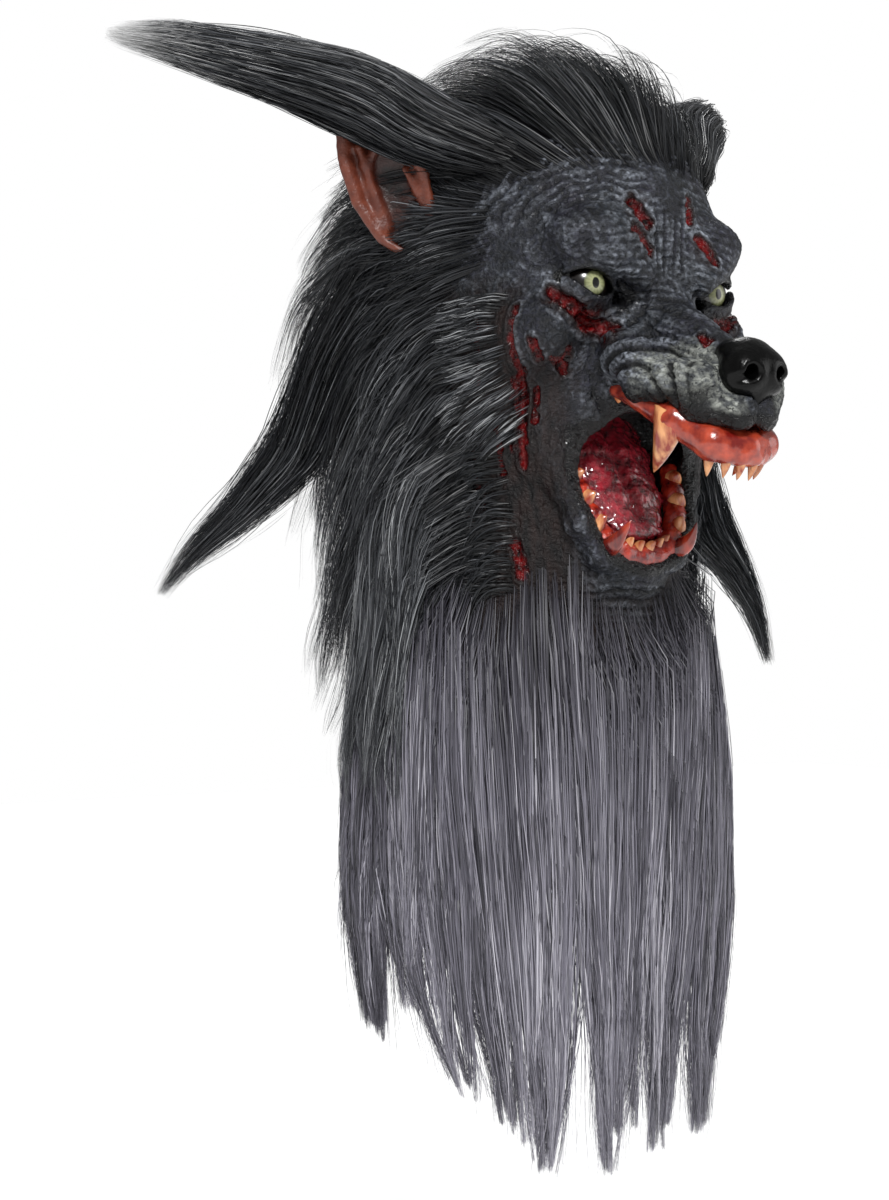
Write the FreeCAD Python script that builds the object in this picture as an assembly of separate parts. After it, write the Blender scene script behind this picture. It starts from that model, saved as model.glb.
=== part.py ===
"""Over-the-head werewolf mask: cast latex skin, acrylic eyes, cast mouth parts and glued long fur.

Millimetres. +Z is up, the face looks along -Y, and the wearer's right is -X. The origin is the point
inside the crown where the mask bears on the top of the wearer's head.
"""
import FreeCAD, Part
import math
import os

V = FreeCAD.Vector

# ---- driving dimensions ------------------------------------------------------------------------
WALL = 3.0             # latex skin
GLUE = 0.4             # glue line between glued pieces
HEAD_HALF_WIDTH = 92.0     # outside of the latex at the temples
HEAD_HALF_DEPTH = 103.0
HEAD_SHIFT = 15.0          # centre of the skull behind the crown point
SKULL_LEVEL = -105.0       # height of the widest skull section
SEAM_Y = -22.0             # mould seam between the face half and the cranium half
THROAT_Z = -212.0          # seam between the head castings and the neck casting
HEM_Z = -462.0             # lower hem of the latex bib
NECK_HALF_WIDTH = 80.0
NECK_HALF_DEPTH = 84.0
BIB_HALF_WIDTH = 108.0
BIB_HALF_DEPTH = 80.0
BIB_SHIFT = 30.0           # centre of the bib behind the crown point

MUZZLE_TIP_Y = -158.0
MUZZLE_TIP_Z = -200.0
MUZZLE_TIP_HALF_WIDTH = 25.0
MUZZLE_TIP_HALF_HEIGHT = 32.0
CHIN_Z = -296.0
CHIN_HALF_WIDTH = 30.0
JAW_FRONT_Y = -77.0
CORNER_Y = -55.0           # mouth corner
CORNER_Z = -204.0
LIP_Z = -189.0             # edge of the upper lip at the canines
LIP_FRONT_Z = -206.0
LOWER_LIP_Z = -281.0

EYE_X = 43.5
EYE_Y = -67.0
EYE_Z = -122.0
EYE_R = 14.0               # acrylic dome
DOME_WALL = 1.6
PEEP_X = 27.0
PEEP_Z = -131.0
PEEP_R = 5.5

NOSE_HALF_WIDTH = 22.0
NOSE_HALF_DEPTH = 16.0
NOSE_HALF_HEIGHT = 17.0
NOSE_Y = -157.0
NOSE_Z = -171.0
NOSTRIL_R = 4.0

UPPER_ARCH_HALF_WIDTH = 37.0
UPPER_ARCH_LENGTH = 80.0
UPPER_ARCH_TILT = 11.0
LOWER_LIP_HALF_WIDTH = 34.0    # outside of the jaw skin round the lower arch
LOWER_LIP_LENGTH = 55.0
ARCH_CLEAR = 0.5               # between the jaw skin and the lower arch
LOWER_ARCH_HALF_WIDTH = LOWER_LIP_HALF_WIDTH - WALL - ARCH_CLEAR
LOWER_ARCH_LENGTH = LOWER_LIP_LENGTH - WALL - ARCH_CLEAR
LOWER_ARCH_TILT = 73.0
LOWER_ARCH_FORWARD = 4.0       # open end of the lower arch ahead of the mouth corner, less the skin
GUM_WIDTH = 10.0
GUM_HEIGHT = 13.0
CANINE_LENGTH = 31.0
CANINE_R = 7.0
INCISOR_LENGTH = 10.0
INCISOR_R = 3.4
CHEEK_TOOTH_LENGTH = 9.0
CHEEK_TOOTH_R = 4.4
TOOTH_TIP_R = 0.8
TONGUE_LENGTH = 56.0
TONGUE_HALF_WIDTH = 19.0
TONGUE_HALF_THICK = 7.0

EAR_HEIGHT = 96.0
EAR_WIDTH = 50.0
EAR_DEPTH = 22.0
EAR_OUT = 14.0             # middle of the ear beyond the temple
EAR_Y = 34.0
EAR_Z = -50.0

CROWN_FUR = 30.0           # bulk of the combed fur over the crown
MANE_FUR = 36.0            # bulk at the sides and back
CHEEK_FUR = 7.0            # short fur in front of the ears
BIB_FUR = 22.0
FUR_GAP = 0.6              # between neighbouring fur pieces
HAIRLINE_Y = -62.0         # front edge of the crown fur
HAIRLINE_Z = -52.0         # lower edge of the crown fur
MANE_FRONT_Y = -8.0        # front edge of the side mane
CHEEK_FRONT_Y = -46.0      # front edge of the short cheek fur
MANE_HEM_Z = -262.0        # lower edge of the mane's bulk
BEARD_DROP = 174.0         # lock tips below the hem in front
BEARD_BODY_DROP = 78.0     # where the beard parts into locks, below the hem
CAPE_DROP = 43.0           # lock tips below the hem at the sides
CAPE_LOCK = 30.0           # length of the parted locks at the sides
NAPE_SHORT = 22.0          # how far above the hem the fur ends down the back
REACH = 400.0              # longer than anything cut with it

os.makedirs("parts", exist_ok=True)


# ---- solids ------------------------------------------------------------------------------------
def ring(centre, half_a, half_b, tilt=0.0, turn=0.0):
    """Closed ellipse in a level plane, then tilted about X and turned about Z."""
    circle = Part.Wire(Part.makeCircle(1.0))
    squeeze = FreeCAD.Matrix()
    squeeze.scale(V(half_a, half_b, 1.0))
    wire = circle.transformGeometry(squeeze)
    wire.rotate(V(0, 0, 0), V(1, 0, 0), tilt)
    wire.rotate(V(0, 0, 0), V(0, 0, 1), turn)
    wire.translate(V(*centre))
    return wire


def loft(rings):
    """Solid through the rings with straight walls between them."""
    return Part.makeLoft(rings, True, True)


def ellipsoid(centre, halves):
    ball = Part.makeSphere(1.0)
    squeeze = FreeCAD.Matrix()
    squeeze.scale(V(*halves))
    squeeze.move(V(*centre))
    return ball.transformGeometry(squeeze)


def block(low, high):
    size = [b - a for a, b in zip(low, high)]
    return Part.makeBox(size[0], size[1], size[2], V(*low))


def side_prism(outline, half_width):
    """Extrude a (y, z) outline across the mask, to the same distance each side."""
    points = [V(-half_width, y, z) for y, z in outline]
    return Part.Face(Part.makePolygon(points + points[:1])).extrude(V(2 * half_width, 0, 0))


def mirrored(shape):
    return shape.mirror(V(0, 0, 0), V(1, 0, 0))


def save(name, shape):
    volumes = [round(solid.Volume) for solid in shape.Solids]
    print(name, "solids", len(volumes), "volume", sum(volumes), "valid", shape.isValid())
    shape.exportStep("parts/" + name + ".step")


def save_pair(name, right_shape):
    save(name + "_right", right_shape)
    save(name + "_left", mirrored(right_shape))


# ---- the latex skin ----------------------------------------------------------------------------
def head_and_neck(grow):
    """Skull dome, neck and bib in level sections, grown outwards by the given amount."""
    half_x = HEAD_HALF_WIDTH + grow
    half_y = HEAD_HALF_DEPTH + grow
    half_z = WALL - SKULL_LEVEL + grow
    rings = []
    for climb in (86, 74, 60, 45, 30, 15, 0):
        angle = math.radians(climb)
        centre = (0, HEAD_SHIFT, SKULL_LEVEL + half_z * math.sin(angle))
        rings.append(ring(centre, half_x * math.cos(angle), half_y * math.cos(angle)))
    rings.append(ring((0, HEAD_SHIFT + 4, -165), half_x - 2, half_y - 5))
    rings.append(ring((0, BIB_SHIFT - 6, -235), NECK_HALF_WIDTH + grow, NECK_HALF_DEPTH + grow))
    rings.append(ring((0, BIB_SHIFT - 2, -300), NECK_HALF_WIDTH + 4 + grow, NECK_HALF_DEPTH - 4 + grow))
    rings.append(ring((0, BIB_SHIFT, -380), BIB_HALF_WIDTH - 8 + grow, BIB_HALF_DEPTH + 4 + grow))
    rings.append(ring((0, BIB_SHIFT, HEM_Z), BIB_HALF_WIDTH + grow, BIB_HALF_DEPTH + grow))
    return loft(rings)


def below_hem(grow, bottom):
    """Straight continuation of the hem section down to the given height."""
    hem = Part.Face(ring((0, BIB_SHIFT, HEM_Z), BIB_HALF_WIDTH + grow, BIB_HALF_DEPTH + grow))
    return hem.extrude(V(0, 0, bottom - HEM_Z))


def fur_sleeve(bulk):
    """Fur of the given bulk over the whole head and neck form, clear of the glue line."""
    return head_and_neck(bulk).cut(skin_clear)


def muzzle(grow):
    """Upper muzzle from inside the skull to the lip under the nose, in upright sections."""
    stations = (
        (-12.0, -165.0, 68.0, 52.0),
        (-60.0, -176.0, 56.0, 58.0),
        (-95.0, -183.0, 46.0, 54.0),
        (-128.0, -188.0, 37.0, 42.0),
        (MUZZLE_TIP_Y, MUZZLE_TIP_Z, MUZZLE_TIP_HALF_WIDTH, MUZZLE_TIP_HALF_HEIGHT),
    )
    rings = []
    for y, z, half_width, half_height in stations:
        inset = grow if y == MUZZLE_TIP_Y else 0.0
        rings.append(ring((0, y - inset, z), half_width + grow, half_height + grow, tilt=90))
    return loft(rings)


def jaw(grow):
    """Dropped lower jaw from the cheeks down to the chin, in level sections."""
    chin_depth = 26.0
    stations = (
        (-150.0, 70.0, 60.0, -68.0),
        (-200.0, 64.0, 60.0, -70.0),
        (-245.0, 49.0, 49.0, JAW_FRONT_Y),
        (-275.0, 38.0, 36.0, JAW_FRONT_Y - 1),
        (CHIN_Z, CHIN_HALF_WIDTH - 4, chin_depth, JAW_FRONT_Y + 3),
    )
    rings = []
    for z, half_width, half_depth, front in stations:
        inset = grow if z == CHIN_Z else 0.0
        rings.append(ring((0, front + half_depth, z - inset), half_width + grow, half_depth + grow))
    return loft(rings)


FRONT = MUZZLE_TIP_Y - 40.0
mouth_gap = side_prism(
    (
        (CORNER_Y, CORNER_Z),
        (CORNER_Y - 6, LIP_Z - 2),
        (CORNER_Y - 50, LIP_Z),
        (CORNER_Y - 84, LIP_Z - 3),
        (MUZZLE_TIP_Y, LIP_FRONT_Z),
        (FRONT, LIP_FRONT_Z),
        (FRONT, LOWER_LIP_Z),
        (JAW_FRONT_Y - 3, LOWER_LIP_Z),
        (JAW_FRONT_Y + 5, LOWER_LIP_Z + 13),
        (JAW_FRONT_Y + 9, LOWER_LIP_Z + 36),
    ),
    HEAD_HALF_WIDTH,
)

outer_form = head_and_neck(0.0).fuse([muzzle(0.0), jaw(0.0)])
inner_form = head_and_neck(-WALL).fuse([muzzle(-WALL), jaw(-WALL)])
skin_clear = head_and_neck(GLUE)
eye_back = Part.makeCylinder(EYE_R + GLUE, EYE_R * 2, V(-EYE_X, EYE_Y, EYE_Z), V(0, 1, 0))
eye_seat = Part.makeSphere(EYE_R + GLUE, V(-EYE_X, EYE_Y, EYE_Z)).fuse(eye_back)
peephole = Part.makeCylinder(PEEP_R, 60, V(-PEEP_X, EYE_Y - 40, PEEP_Z), V(0, 1, 0))
cuts = [inner_form, mouth_gap]
for tool in (eye_seat, peephole):
    cuts += [tool, mirrored(tool)]
skin = outer_form.cut(cuts)

seam_front = block((-REACH, -REACH, THROAT_Z), (REACH, SEAM_Y, REACH))
seam_back = block((-REACH, SEAM_Y, THROAT_Z), (REACH, REACH, REACH))
JAW_BACK_Y = -30.0
JAW_BASE_Z = CHIN_Z - 6.0
jaw_zone = block((-REACH, -REACH, JAW_BASE_Z), (REACH, JAW_BACK_Y, THROAT_Z))
below_throat = block((-REACH, -REACH, -REACH * 2), (REACH, REACH, THROAT_Z))

save("latex_face", skin.common(seam_front))
save("latex_cranium", skin.common(seam_back))
save("latex_lower_jaw", skin.common(jaw_zone))
save("latex_neck_bib", skin.common(below_throat).cut(jaw_zone))

# ---- eyes and nose -----------------------------------------------------------------------------
eye_centre = V(-EYE_X, EYE_Y, EYE_Z)
front_half = block((-REACH, -REACH, -REACH), (REACH, EYE_Y, REACH))
dome = Part.makeSphere(EYE_R, eye_centre).cut(Part.makeSphere(EYE_R - DOME_WALL, eye_centre))
insert = Part.makeSphere(EYE_R - DOME_WALL - GLUE, eye_centre)
save_pair("eye_dome", dome.common(front_half))
save_pair("eye_insert", insert.common(front_half))

nose = ellipsoid((0, NOSE_Y, NOSE_Z), (NOSE_HALF_WIDTH, NOSE_HALF_DEPTH, NOSE_HALF_HEIGHT))
nostril = Part.makeCylinder(NOSTRIL_R, 12, V(-NOSE_HALF_WIDTH / 2, NOSE_Y - 20, NOSE_Z - 4), V(0.2, 1, 0.2))
save("nose_pad", nose.cut([muzzle(GLUE), nostril, mirrored(nostril)]))


# ---- mouth parts -------------------------------------------------------------------------------
def arch(half_width, length, width, low, high):
    """Horseshoe between two half ellipses, open towards +Y, from the heights low to high."""
    outer = Part.Face(ring((0, 0, low), half_width, length)).extrude(V(0, 0, high - low))
    inner = Part.Face(ring((0, 0, low), half_width - width, length - width)).extrude(V(0, 0, high - low))
    return outer.cut([inner, block((-REACH, 0, -REACH), (REACH, REACH, REACH))])


def arch_point(half_width, length, share, inset):
    """Point on the arch's centre line; share runs from 0 at the front to 1 at the open end."""
    angle = math.radians(90 * share)
    return V(-(half_width - inset) * math.sin(angle), -(length - inset) * math.cos(angle), 0)


def tooth(base, length, radius, up, lean=(0.0, 0.0)):
    """Tapered crown with its root plane at the gum; up is +1 for the lower jaw, -1 for the upper."""
    tip = base + V(lean[0], lean[1], up * length)
    middle = base + V(lean[0] * 0.25, lean[1] * 0.25, up * length * 0.5)
    return loft([
        ring(tuple(base), radius, radius * 0.85),
        ring(tuple(middle), radius * 0.66, radius * 0.6),
        ring(tuple(tip), TOOTH_TIP_R, TOOTH_TIP_R),
    ])


def jaw_set(half_width, length, up, crown_plane, place):
    """Gum horseshoe and its teeth for one jaw, each piece put in place by the given function."""
    gum = arch(half_width, length, GUM_WIDTH, min(0, -up * GUM_HEIGHT), max(0, -up * GUM_HEIGHT))
    inset = GUM_WIDTH / 2
    root = V(0, 0, crown_plane * up)
    incisors = []
    for share in (0.06, 0.18, 0.30):
        base = arch_point(half_width, length, share, inset) + root
        piece = tooth(base, INCISOR_LENGTH, INCISOR_R, up)
        incisors += [piece, mirrored(piece)]
    canine_base = arch_point(half_width, length, 0.48, inset) + root
    canine = tooth(canine_base, CANINE_LENGTH, CANINE_R * 0.7, up, lean=(-2.0, 6.0))
    cheek = []
    for share in (0.63, 0.74, 0.85, 0.96):
        base = arch_point(half_width, length, share, inset) + root
        cheek.append(tooth(base, CHEEK_TOOTH_LENGTH, CHEEK_TOOTH_R, up))
    return {
        "gum": place(gum),
        "incisors": place(Part.makeCompound(incisors)),
        "canine_right": place(canine),
        "canine_left": place(mirrored(canine)),
        "cheek_teeth_right": place(Part.makeCompound(cheek)),
        "cheek_teeth_left": place(mirrored(Part.makeCompound(cheek))),
    }


def put_upper(shape):
    shape = shape.copy()
    shape.rotate(V(0, 0, 0), V(1, 0, 0), UPPER_ARCH_TILT)
    shape.translate(V(0, MUZZLE_TIP_Y + UPPER_ARCH_LENGTH + 6, LIP_Z - 9))
    return shape


def put_lower(shape):
    shape = shape.copy()
    shape.rotate(V(0, 0, 0), V(1, 0, 0), LOWER_ARCH_TILT)
    shape.translate(V(0, CORNER_Y - LOWER_ARCH_FORWARD + WALL, CORNER_Z - 13))
    return shape


upper = jaw_set(UPPER_ARCH_HALF_WIDTH, UPPER_ARCH_LENGTH, -1, GLUE, put_upper)
lower = jaw_set(LOWER_ARCH_HALF_WIDTH, LOWER_ARCH_LENGTH, 1, GLUE, put_lower)
for jaw_name, pieces in (("upper", upper), ("lower", lower)):
    for piece_name, piece in pieces.items():
        save(jaw_name + "_" + piece_name, piece.cut(skin) if piece_name == "gum" else piece)

tongue = loft([
    ring((0, 0, 0), TONGUE_HALF_WIDTH * 0.8, TONGUE_HALF_THICK * 0.9, tilt=90),
    ring((0, -TONGUE_LENGTH * 0.4, 2), TONGUE_HALF_WIDTH, TONGUE_HALF_THICK, tilt=90),
    ring((0, -TONGUE_LENGTH * 0.8, 1), TONGUE_HALF_WIDTH * 0.8, TONGUE_HALF_THICK * 0.8, tilt=90),
    ring((0, -TONGUE_LENGTH, 0), TONGUE_HALF_WIDTH * 0.35, TONGUE_HALF_THICK * 0.4, tilt=90),
])
tongue.rotate(V(0, 0, 0), V(1, 0, 0), 52)
tongue.translate(V(0, CORNER_Y + 20, CORNER_Z - 5))
save("tongue", tongue.cut(lower["gum"]))

THROAT_HALF_WIDTH = 41.0
THROAT_HALF_DEPTH = 38.0
THROAT_HALF_HEIGHT = 42.0
THROAT_LEVEL = CORNER_Z - 20
LINING_WALL = 2.0
LINING_Y = CORNER_Y + 4
lining_centre = (0, LINING_Y, THROAT_LEVEL)
lining_halves = (THROAT_HALF_WIDTH, THROAT_HALF_DEPTH, THROAT_HALF_HEIGHT)
lining_form = ellipsoid(lining_centre, lining_halves)
lining_hollow = ellipsoid(lining_centre, [half - LINING_WALL for half in lining_halves])
lining = lining_form.cut([lining_hollow, block((-REACH, -REACH, -REACH), (REACH, LINING_Y, REACH))])
lining = lining.cut([skin, tongue, upper["gum"], lower["gum"]])
save("mouth_lining", max(lining.Solids, key=lambda solid: solid.Volume))

# ---- ears --------------------------------------------------------------------------------------
EAR_TURN = 38.0            # hollow turned from the side towards the face
EAR_LEAN = 10.0            # away from the head
EAR_RAKE = 20.0            # back


def put_ear(shape):
    """Rake the ear back, lean it off the head, turn its hollow forwards and set it at the temple."""
    shape.rotate(V(0, 0, 0), V(1, 0, 0), -EAR_RAKE)
    shape.rotate(V(0, 0, 0), V(0, 1, 0), -EAR_LEAN)
    shape.rotate(V(0, 0, 0), V(0, 0, 1), EAR_TURN)
    shape.translate(V(-HEAD_HALF_WIDTH - EAR_OUT, EAR_Y, EAR_Z))
    return shape


def ear_leaf(shrink, outward, grow=0.0):
    """Pointed leaf in level sections, made smaller by shrink and moved off the head by outward."""
    rings = []
    for height, width in ((-0.5, 0.3), (-0.38, 0.7), (-0.15, 1.0), (0.12, 0.9), (0.36, 0.5), (0.5, 0.1)):
        half_width = width * EAR_WIDTH / 2 - shrink * width + grow
        half_depth = math.sqrt(width) * EAR_DEPTH / 2 + grow
        level = height * (EAR_HEIGHT - 4 * shrink + 2 * grow)
        rings.append(ring((-outward, 0, level), half_depth, half_width))
    return put_ear(loft(rings))


ear = ear_leaf(0.0, 0.0).cut([ear_leaf(WALL, EAR_DEPTH / 2), head_and_neck(GLUE)])
ear = max(ear.Solids, key=lambda solid: solid.Volume)
ear_clear = ear_leaf(0.0, 0.0, grow=FUR_GAP)
ear_space = [ear_clear, mirrored(ear_clear)]
save_pair("ear", ear)


# ---- fur ---------------------------------------------------------------------------------------
def lock(root, tip, root_half, tip_half, turn, tilt):
    """Tapered bundle of fur from root to tip."""
    rings = []
    for share, swell in ((0.0, 1.0), (0.35, 1.05), (0.7, 0.75), (1.0, 0.0)):
        centre = [a + (b - a) * share for a, b in zip(root, tip)]
        half = tip_half + (root_half - tip_half) * swell
        rings.append(ring(centre, half, half * 0.8, tilt=tilt, turn=turn))
    return loft(rings)


tuft_right = lock((-112, 52, -20), (-214, 170, 38), 22.0, 3.0, turn=41, tilt=70)
tuft_left = lock((112, 52, -18), (206, 150, 64), 22.0, 3.0, turn=-41, tilt=60)
flick_right = lock((-104, 118, -214), (-160, 198, -292), 15.0, 2.5, turn=35, tilt=38)
flick_left = lock((116, 22, -244), (186, 30, -334), 12.0, 2.5, turn=-85, tilt=35)

muzzle_clear = muzzle(GLUE + FUR_GAP)
jaw_clear = jaw(GLUE + FUR_GAP)
ear_tufts = [tuft_right, tuft_left]
flicks = [flick_right, flick_left]

crown_zone = block((-REACH, HAIRLINE_Y, HAIRLINE_Z + FUR_GAP), (REACH, REACH, REACH))
crown = fur_sleeve(CROWN_FUR).common(crown_zone)
crown = crown.cut(ear_space + ear_tufts)
save("fur_crown", max(crown.Solids, key=lambda solid: solid.Volume))

mane_form = fur_sleeve(MANE_FUR)
BACK_Y = 78.0
back_zone = block((-REACH, BACK_Y, MANE_HEM_Z), (REACH, REACH, HAIRLINE_Z))
side_zone = block((-REACH, MANE_FRONT_Y, MANE_HEM_Z), (-30, BACK_Y - FUR_GAP, HAIRLINE_Z))
save("fur_back_mane", mane_form.common(back_zone).cut(ear_space + ear_tufts + flicks))
side_mane = mane_form.common(side_zone)
for side, form in (("right", side_mane), ("left", mirrored(side_mane))):
    trimmed = form.cut(ear_space + ear_tufts + flicks + [jaw_clear])
    save("fur_side_mane_" + side, max(trimmed.Solids, key=lambda solid: solid.Volume))

cheek_zone = block((-REACH, CHEEK_FRONT_Y, THROAT_Z + 6), (-30, MANE_FRONT_Y - FUR_GAP, -96))
cheek_fur = fur_sleeve(CHEEK_FUR).common(cheek_zone).cut([muzzle_clear, jaw_clear])
save_pair("fur_cheek", max(cheek_fur.Solids, key=lambda solid: solid.Volume))

save("ear_tuft_right", tuft_right.cut([skin_clear, ear_clear]))
save("ear_tuft_left", tuft_left.cut([skin_clear, mirrored(ear_clear)]))
save("flick_lock_right", flick_right.cut(skin_clear))
save("flick_lock_left", flick_left.cut(skin_clear))


def curtain(bottom, body, count, half_span):
    """Fur round the bib that hangs past its hem and parts into pointed locks below the body."""
    form = bib_sleeve.fuse(below_hem(BIB_FUR, bottom).cut(below_hem(GLUE, bottom - WALL)))
    notches = []
    pitch = 2 * half_span / count
    for index in range(count + 1):
        x = -half_span + pitch * index
        half_gap = pitch * 0.42
        feet = [V(x - half_gap, -REACH, bottom), V(x + half_gap, -REACH, bottom)]
        points = feet + [V(x, -REACH, body)]
        wedge = Part.Face(Part.makePolygon(points + points[:1])).extrude(V(0, 2 * REACH, 0))
        notches.append(wedge)
    return form.cut(notches)


BEARD_BACK_Y = 24.0
NAPE_FRONT_Y = 74.0
BEARD_TOP_Z = JAW_BASE_Z - 4.0
FORM_HALF_WIDTH = BIB_HALF_WIDTH + BIB_FUR
LOCK_COUNT = 8
LOW = -2 * REACH
bib_sleeve = fur_sleeve(BIB_FUR)
beard_zone = block((-REACH, -REACH, LOW), (REACH, BEARD_BACK_Y, BEARD_TOP_Z))
beard_form = curtain(HEM_Z - BEARD_DROP, HEM_Z - BEARD_BODY_DROP, LOCK_COUNT, FORM_HALF_WIDTH)
beard = beard_form.common(beard_zone).cut(jaw_clear)
save("fur_beard", max(beard.Solids, key=lambda solid: solid.Volume))

CAPE_TOP_Z = MANE_HEM_Z - FUR_GAP
cape_zone = block((-REACH, BEARD_BACK_Y + FUR_GAP, LOW), (-30, NAPE_FRONT_Y, CAPE_TOP_Z))
cape_bottom = HEM_Z - CAPE_DROP
cape = curtain(cape_bottom, cape_bottom + CAPE_LOCK, LOCK_COUNT, FORM_HALF_WIDTH).common(cape_zone)
for side, form in (("right", cape), ("left", mirrored(cape))):
    save("fur_cape_" + side, max(form.cut(flicks).Solids, key=lambda solid: solid.Volume))

nape_zone = block((-REACH, NAPE_FRONT_Y + FUR_GAP, HEM_Z + NAPE_SHORT), (REACH, REACH, CAPE_TOP_Z))
nape = bib_sleeve.common(nape_zone).cut(flicks)
save("fur_nape", max(nape.Solids, key=lambda solid: solid.Volume))
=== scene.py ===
import math

import bpy
import numpy as np
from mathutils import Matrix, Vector


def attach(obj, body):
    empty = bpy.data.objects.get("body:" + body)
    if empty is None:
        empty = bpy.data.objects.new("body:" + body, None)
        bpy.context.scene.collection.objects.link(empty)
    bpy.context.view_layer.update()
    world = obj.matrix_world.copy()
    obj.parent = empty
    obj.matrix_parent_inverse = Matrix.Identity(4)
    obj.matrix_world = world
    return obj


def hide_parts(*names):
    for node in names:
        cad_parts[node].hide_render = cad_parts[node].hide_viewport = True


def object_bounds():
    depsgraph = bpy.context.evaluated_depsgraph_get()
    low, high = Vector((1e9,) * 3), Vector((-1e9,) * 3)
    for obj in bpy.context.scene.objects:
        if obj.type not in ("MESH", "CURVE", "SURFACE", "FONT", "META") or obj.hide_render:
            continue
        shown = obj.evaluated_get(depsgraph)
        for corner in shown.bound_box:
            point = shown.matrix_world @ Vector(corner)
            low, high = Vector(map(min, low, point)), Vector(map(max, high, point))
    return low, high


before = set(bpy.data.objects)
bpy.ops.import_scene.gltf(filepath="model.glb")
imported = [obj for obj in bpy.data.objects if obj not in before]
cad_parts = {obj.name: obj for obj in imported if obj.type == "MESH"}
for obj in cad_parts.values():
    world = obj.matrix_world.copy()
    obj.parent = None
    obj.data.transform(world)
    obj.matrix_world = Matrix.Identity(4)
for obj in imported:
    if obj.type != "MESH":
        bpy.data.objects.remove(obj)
CAD_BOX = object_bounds()

MM = 0.001
SEED = 41


# ---- small tools -------------------------------------------------------------------------------
def vec(x, y, z):
    return np.array([x, y, z], dtype=np.float32)


def smoothstep(low, high, value):
    t = np.clip((value - low) / (high - low), 0.0, 1.0)
    return t * t * (3 - 2 * t)


def blend_union(a, b, k):
    """Union of two distance fields with a fillet about k wide."""
    h = np.maximum(k - np.abs(a - b), 0.0) / k
    return np.minimum(a, b) - h * h * k * 0.25


def blend_cut(a, b, k):
    """Field a with field b carved out of it and the edge rounded about k wide."""
    return -blend_union(-a, b, k)


def built(p, d, steps):
    """The field d with each form melted in by its fillet, or carved out where the fillet is negative."""
    for form, sizes, fillet in steps:
        blend = blend_union if fillet > 0 else blend_cut
        d = blend(d, form(p, *sizes), abs(fillet))
    return d


def egg(p, centre, halves):
    q = p - vec(*centre)
    k0 = np.sqrt(np.sum((q / vec(*halves)) ** 2, axis=-1)) + 1e-6
    k1 = np.sqrt(np.sum((q / vec(*halves) ** 2) ** 2, axis=-1)) + 1e-6
    return k0 * (k0 - 1.0) / k1


def bar(p, a, b, ra, rb):
    """Round bar from a to b whose radius goes from ra to rb."""
    a, b = vec(*a), vec(*b)
    t = np.clip(np.sum((p - a) * (b - a), axis=-1) / np.sum((b - a) ** 2), 0.0, 1.0)
    return np.sqrt(np.sum((p - a - t[..., None] * (b - a)) ** 2, axis=-1)) - (ra + (rb - ra) * t)


NOISE_PRIMES = (374761393, 668265263, 2147483647)


def noise(p, size, seed=0):
    """Smooth random field from -1 to 1 with features about size millimetres across."""
    q = p / size + 57.3 * (seed + 1)
    cell = np.floor(q).astype(np.int64)
    f = q - cell
    f = f * f * (3 - 2 * f)
    total = 0.0
    for corner in np.ndindex(2, 2, 2):
        n = sum((cell[..., i] + corner[i]) * NOISE_PRIMES[i] for i in range(3))
        n = (n ^ (n >> 13)) * 1274126177
        value = ((n ^ (n >> 16)) & 0xFFFF) / 32767.5 - 1.0
        for i in range(3):
            value = value * (f[..., i] if corner[i] else 1 - f[..., i])
        total = total + value
    return total


def mesh_piece(name, points, faces, smooth=True):
    """Mesh object from points in millimetres and faces that all have the same number of corners."""
    faces = np.asarray(faces, np.int32)
    mesh = bpy.data.meshes.new(name)
    mesh.vertices.add(len(points))
    mesh.vertices.foreach_set("co", (np.asarray(points, np.float32) * MM).ravel())
    mesh.loops.add(faces.size)
    mesh.loops.foreach_set("vertex_index", faces.ravel())
    mesh.polygons.add(len(faces))
    mesh.polygons.foreach_set("loop_start", np.arange(0, faces.size, faces.shape[1], dtype=np.int32))
    mesh.update(calc_edges=True)
    if smooth:
        mesh.shade_smooth()
    piece = bpy.data.objects.new(name, mesh)
    bpy.context.scene.collection.objects.link(piece)
    return piece


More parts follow.
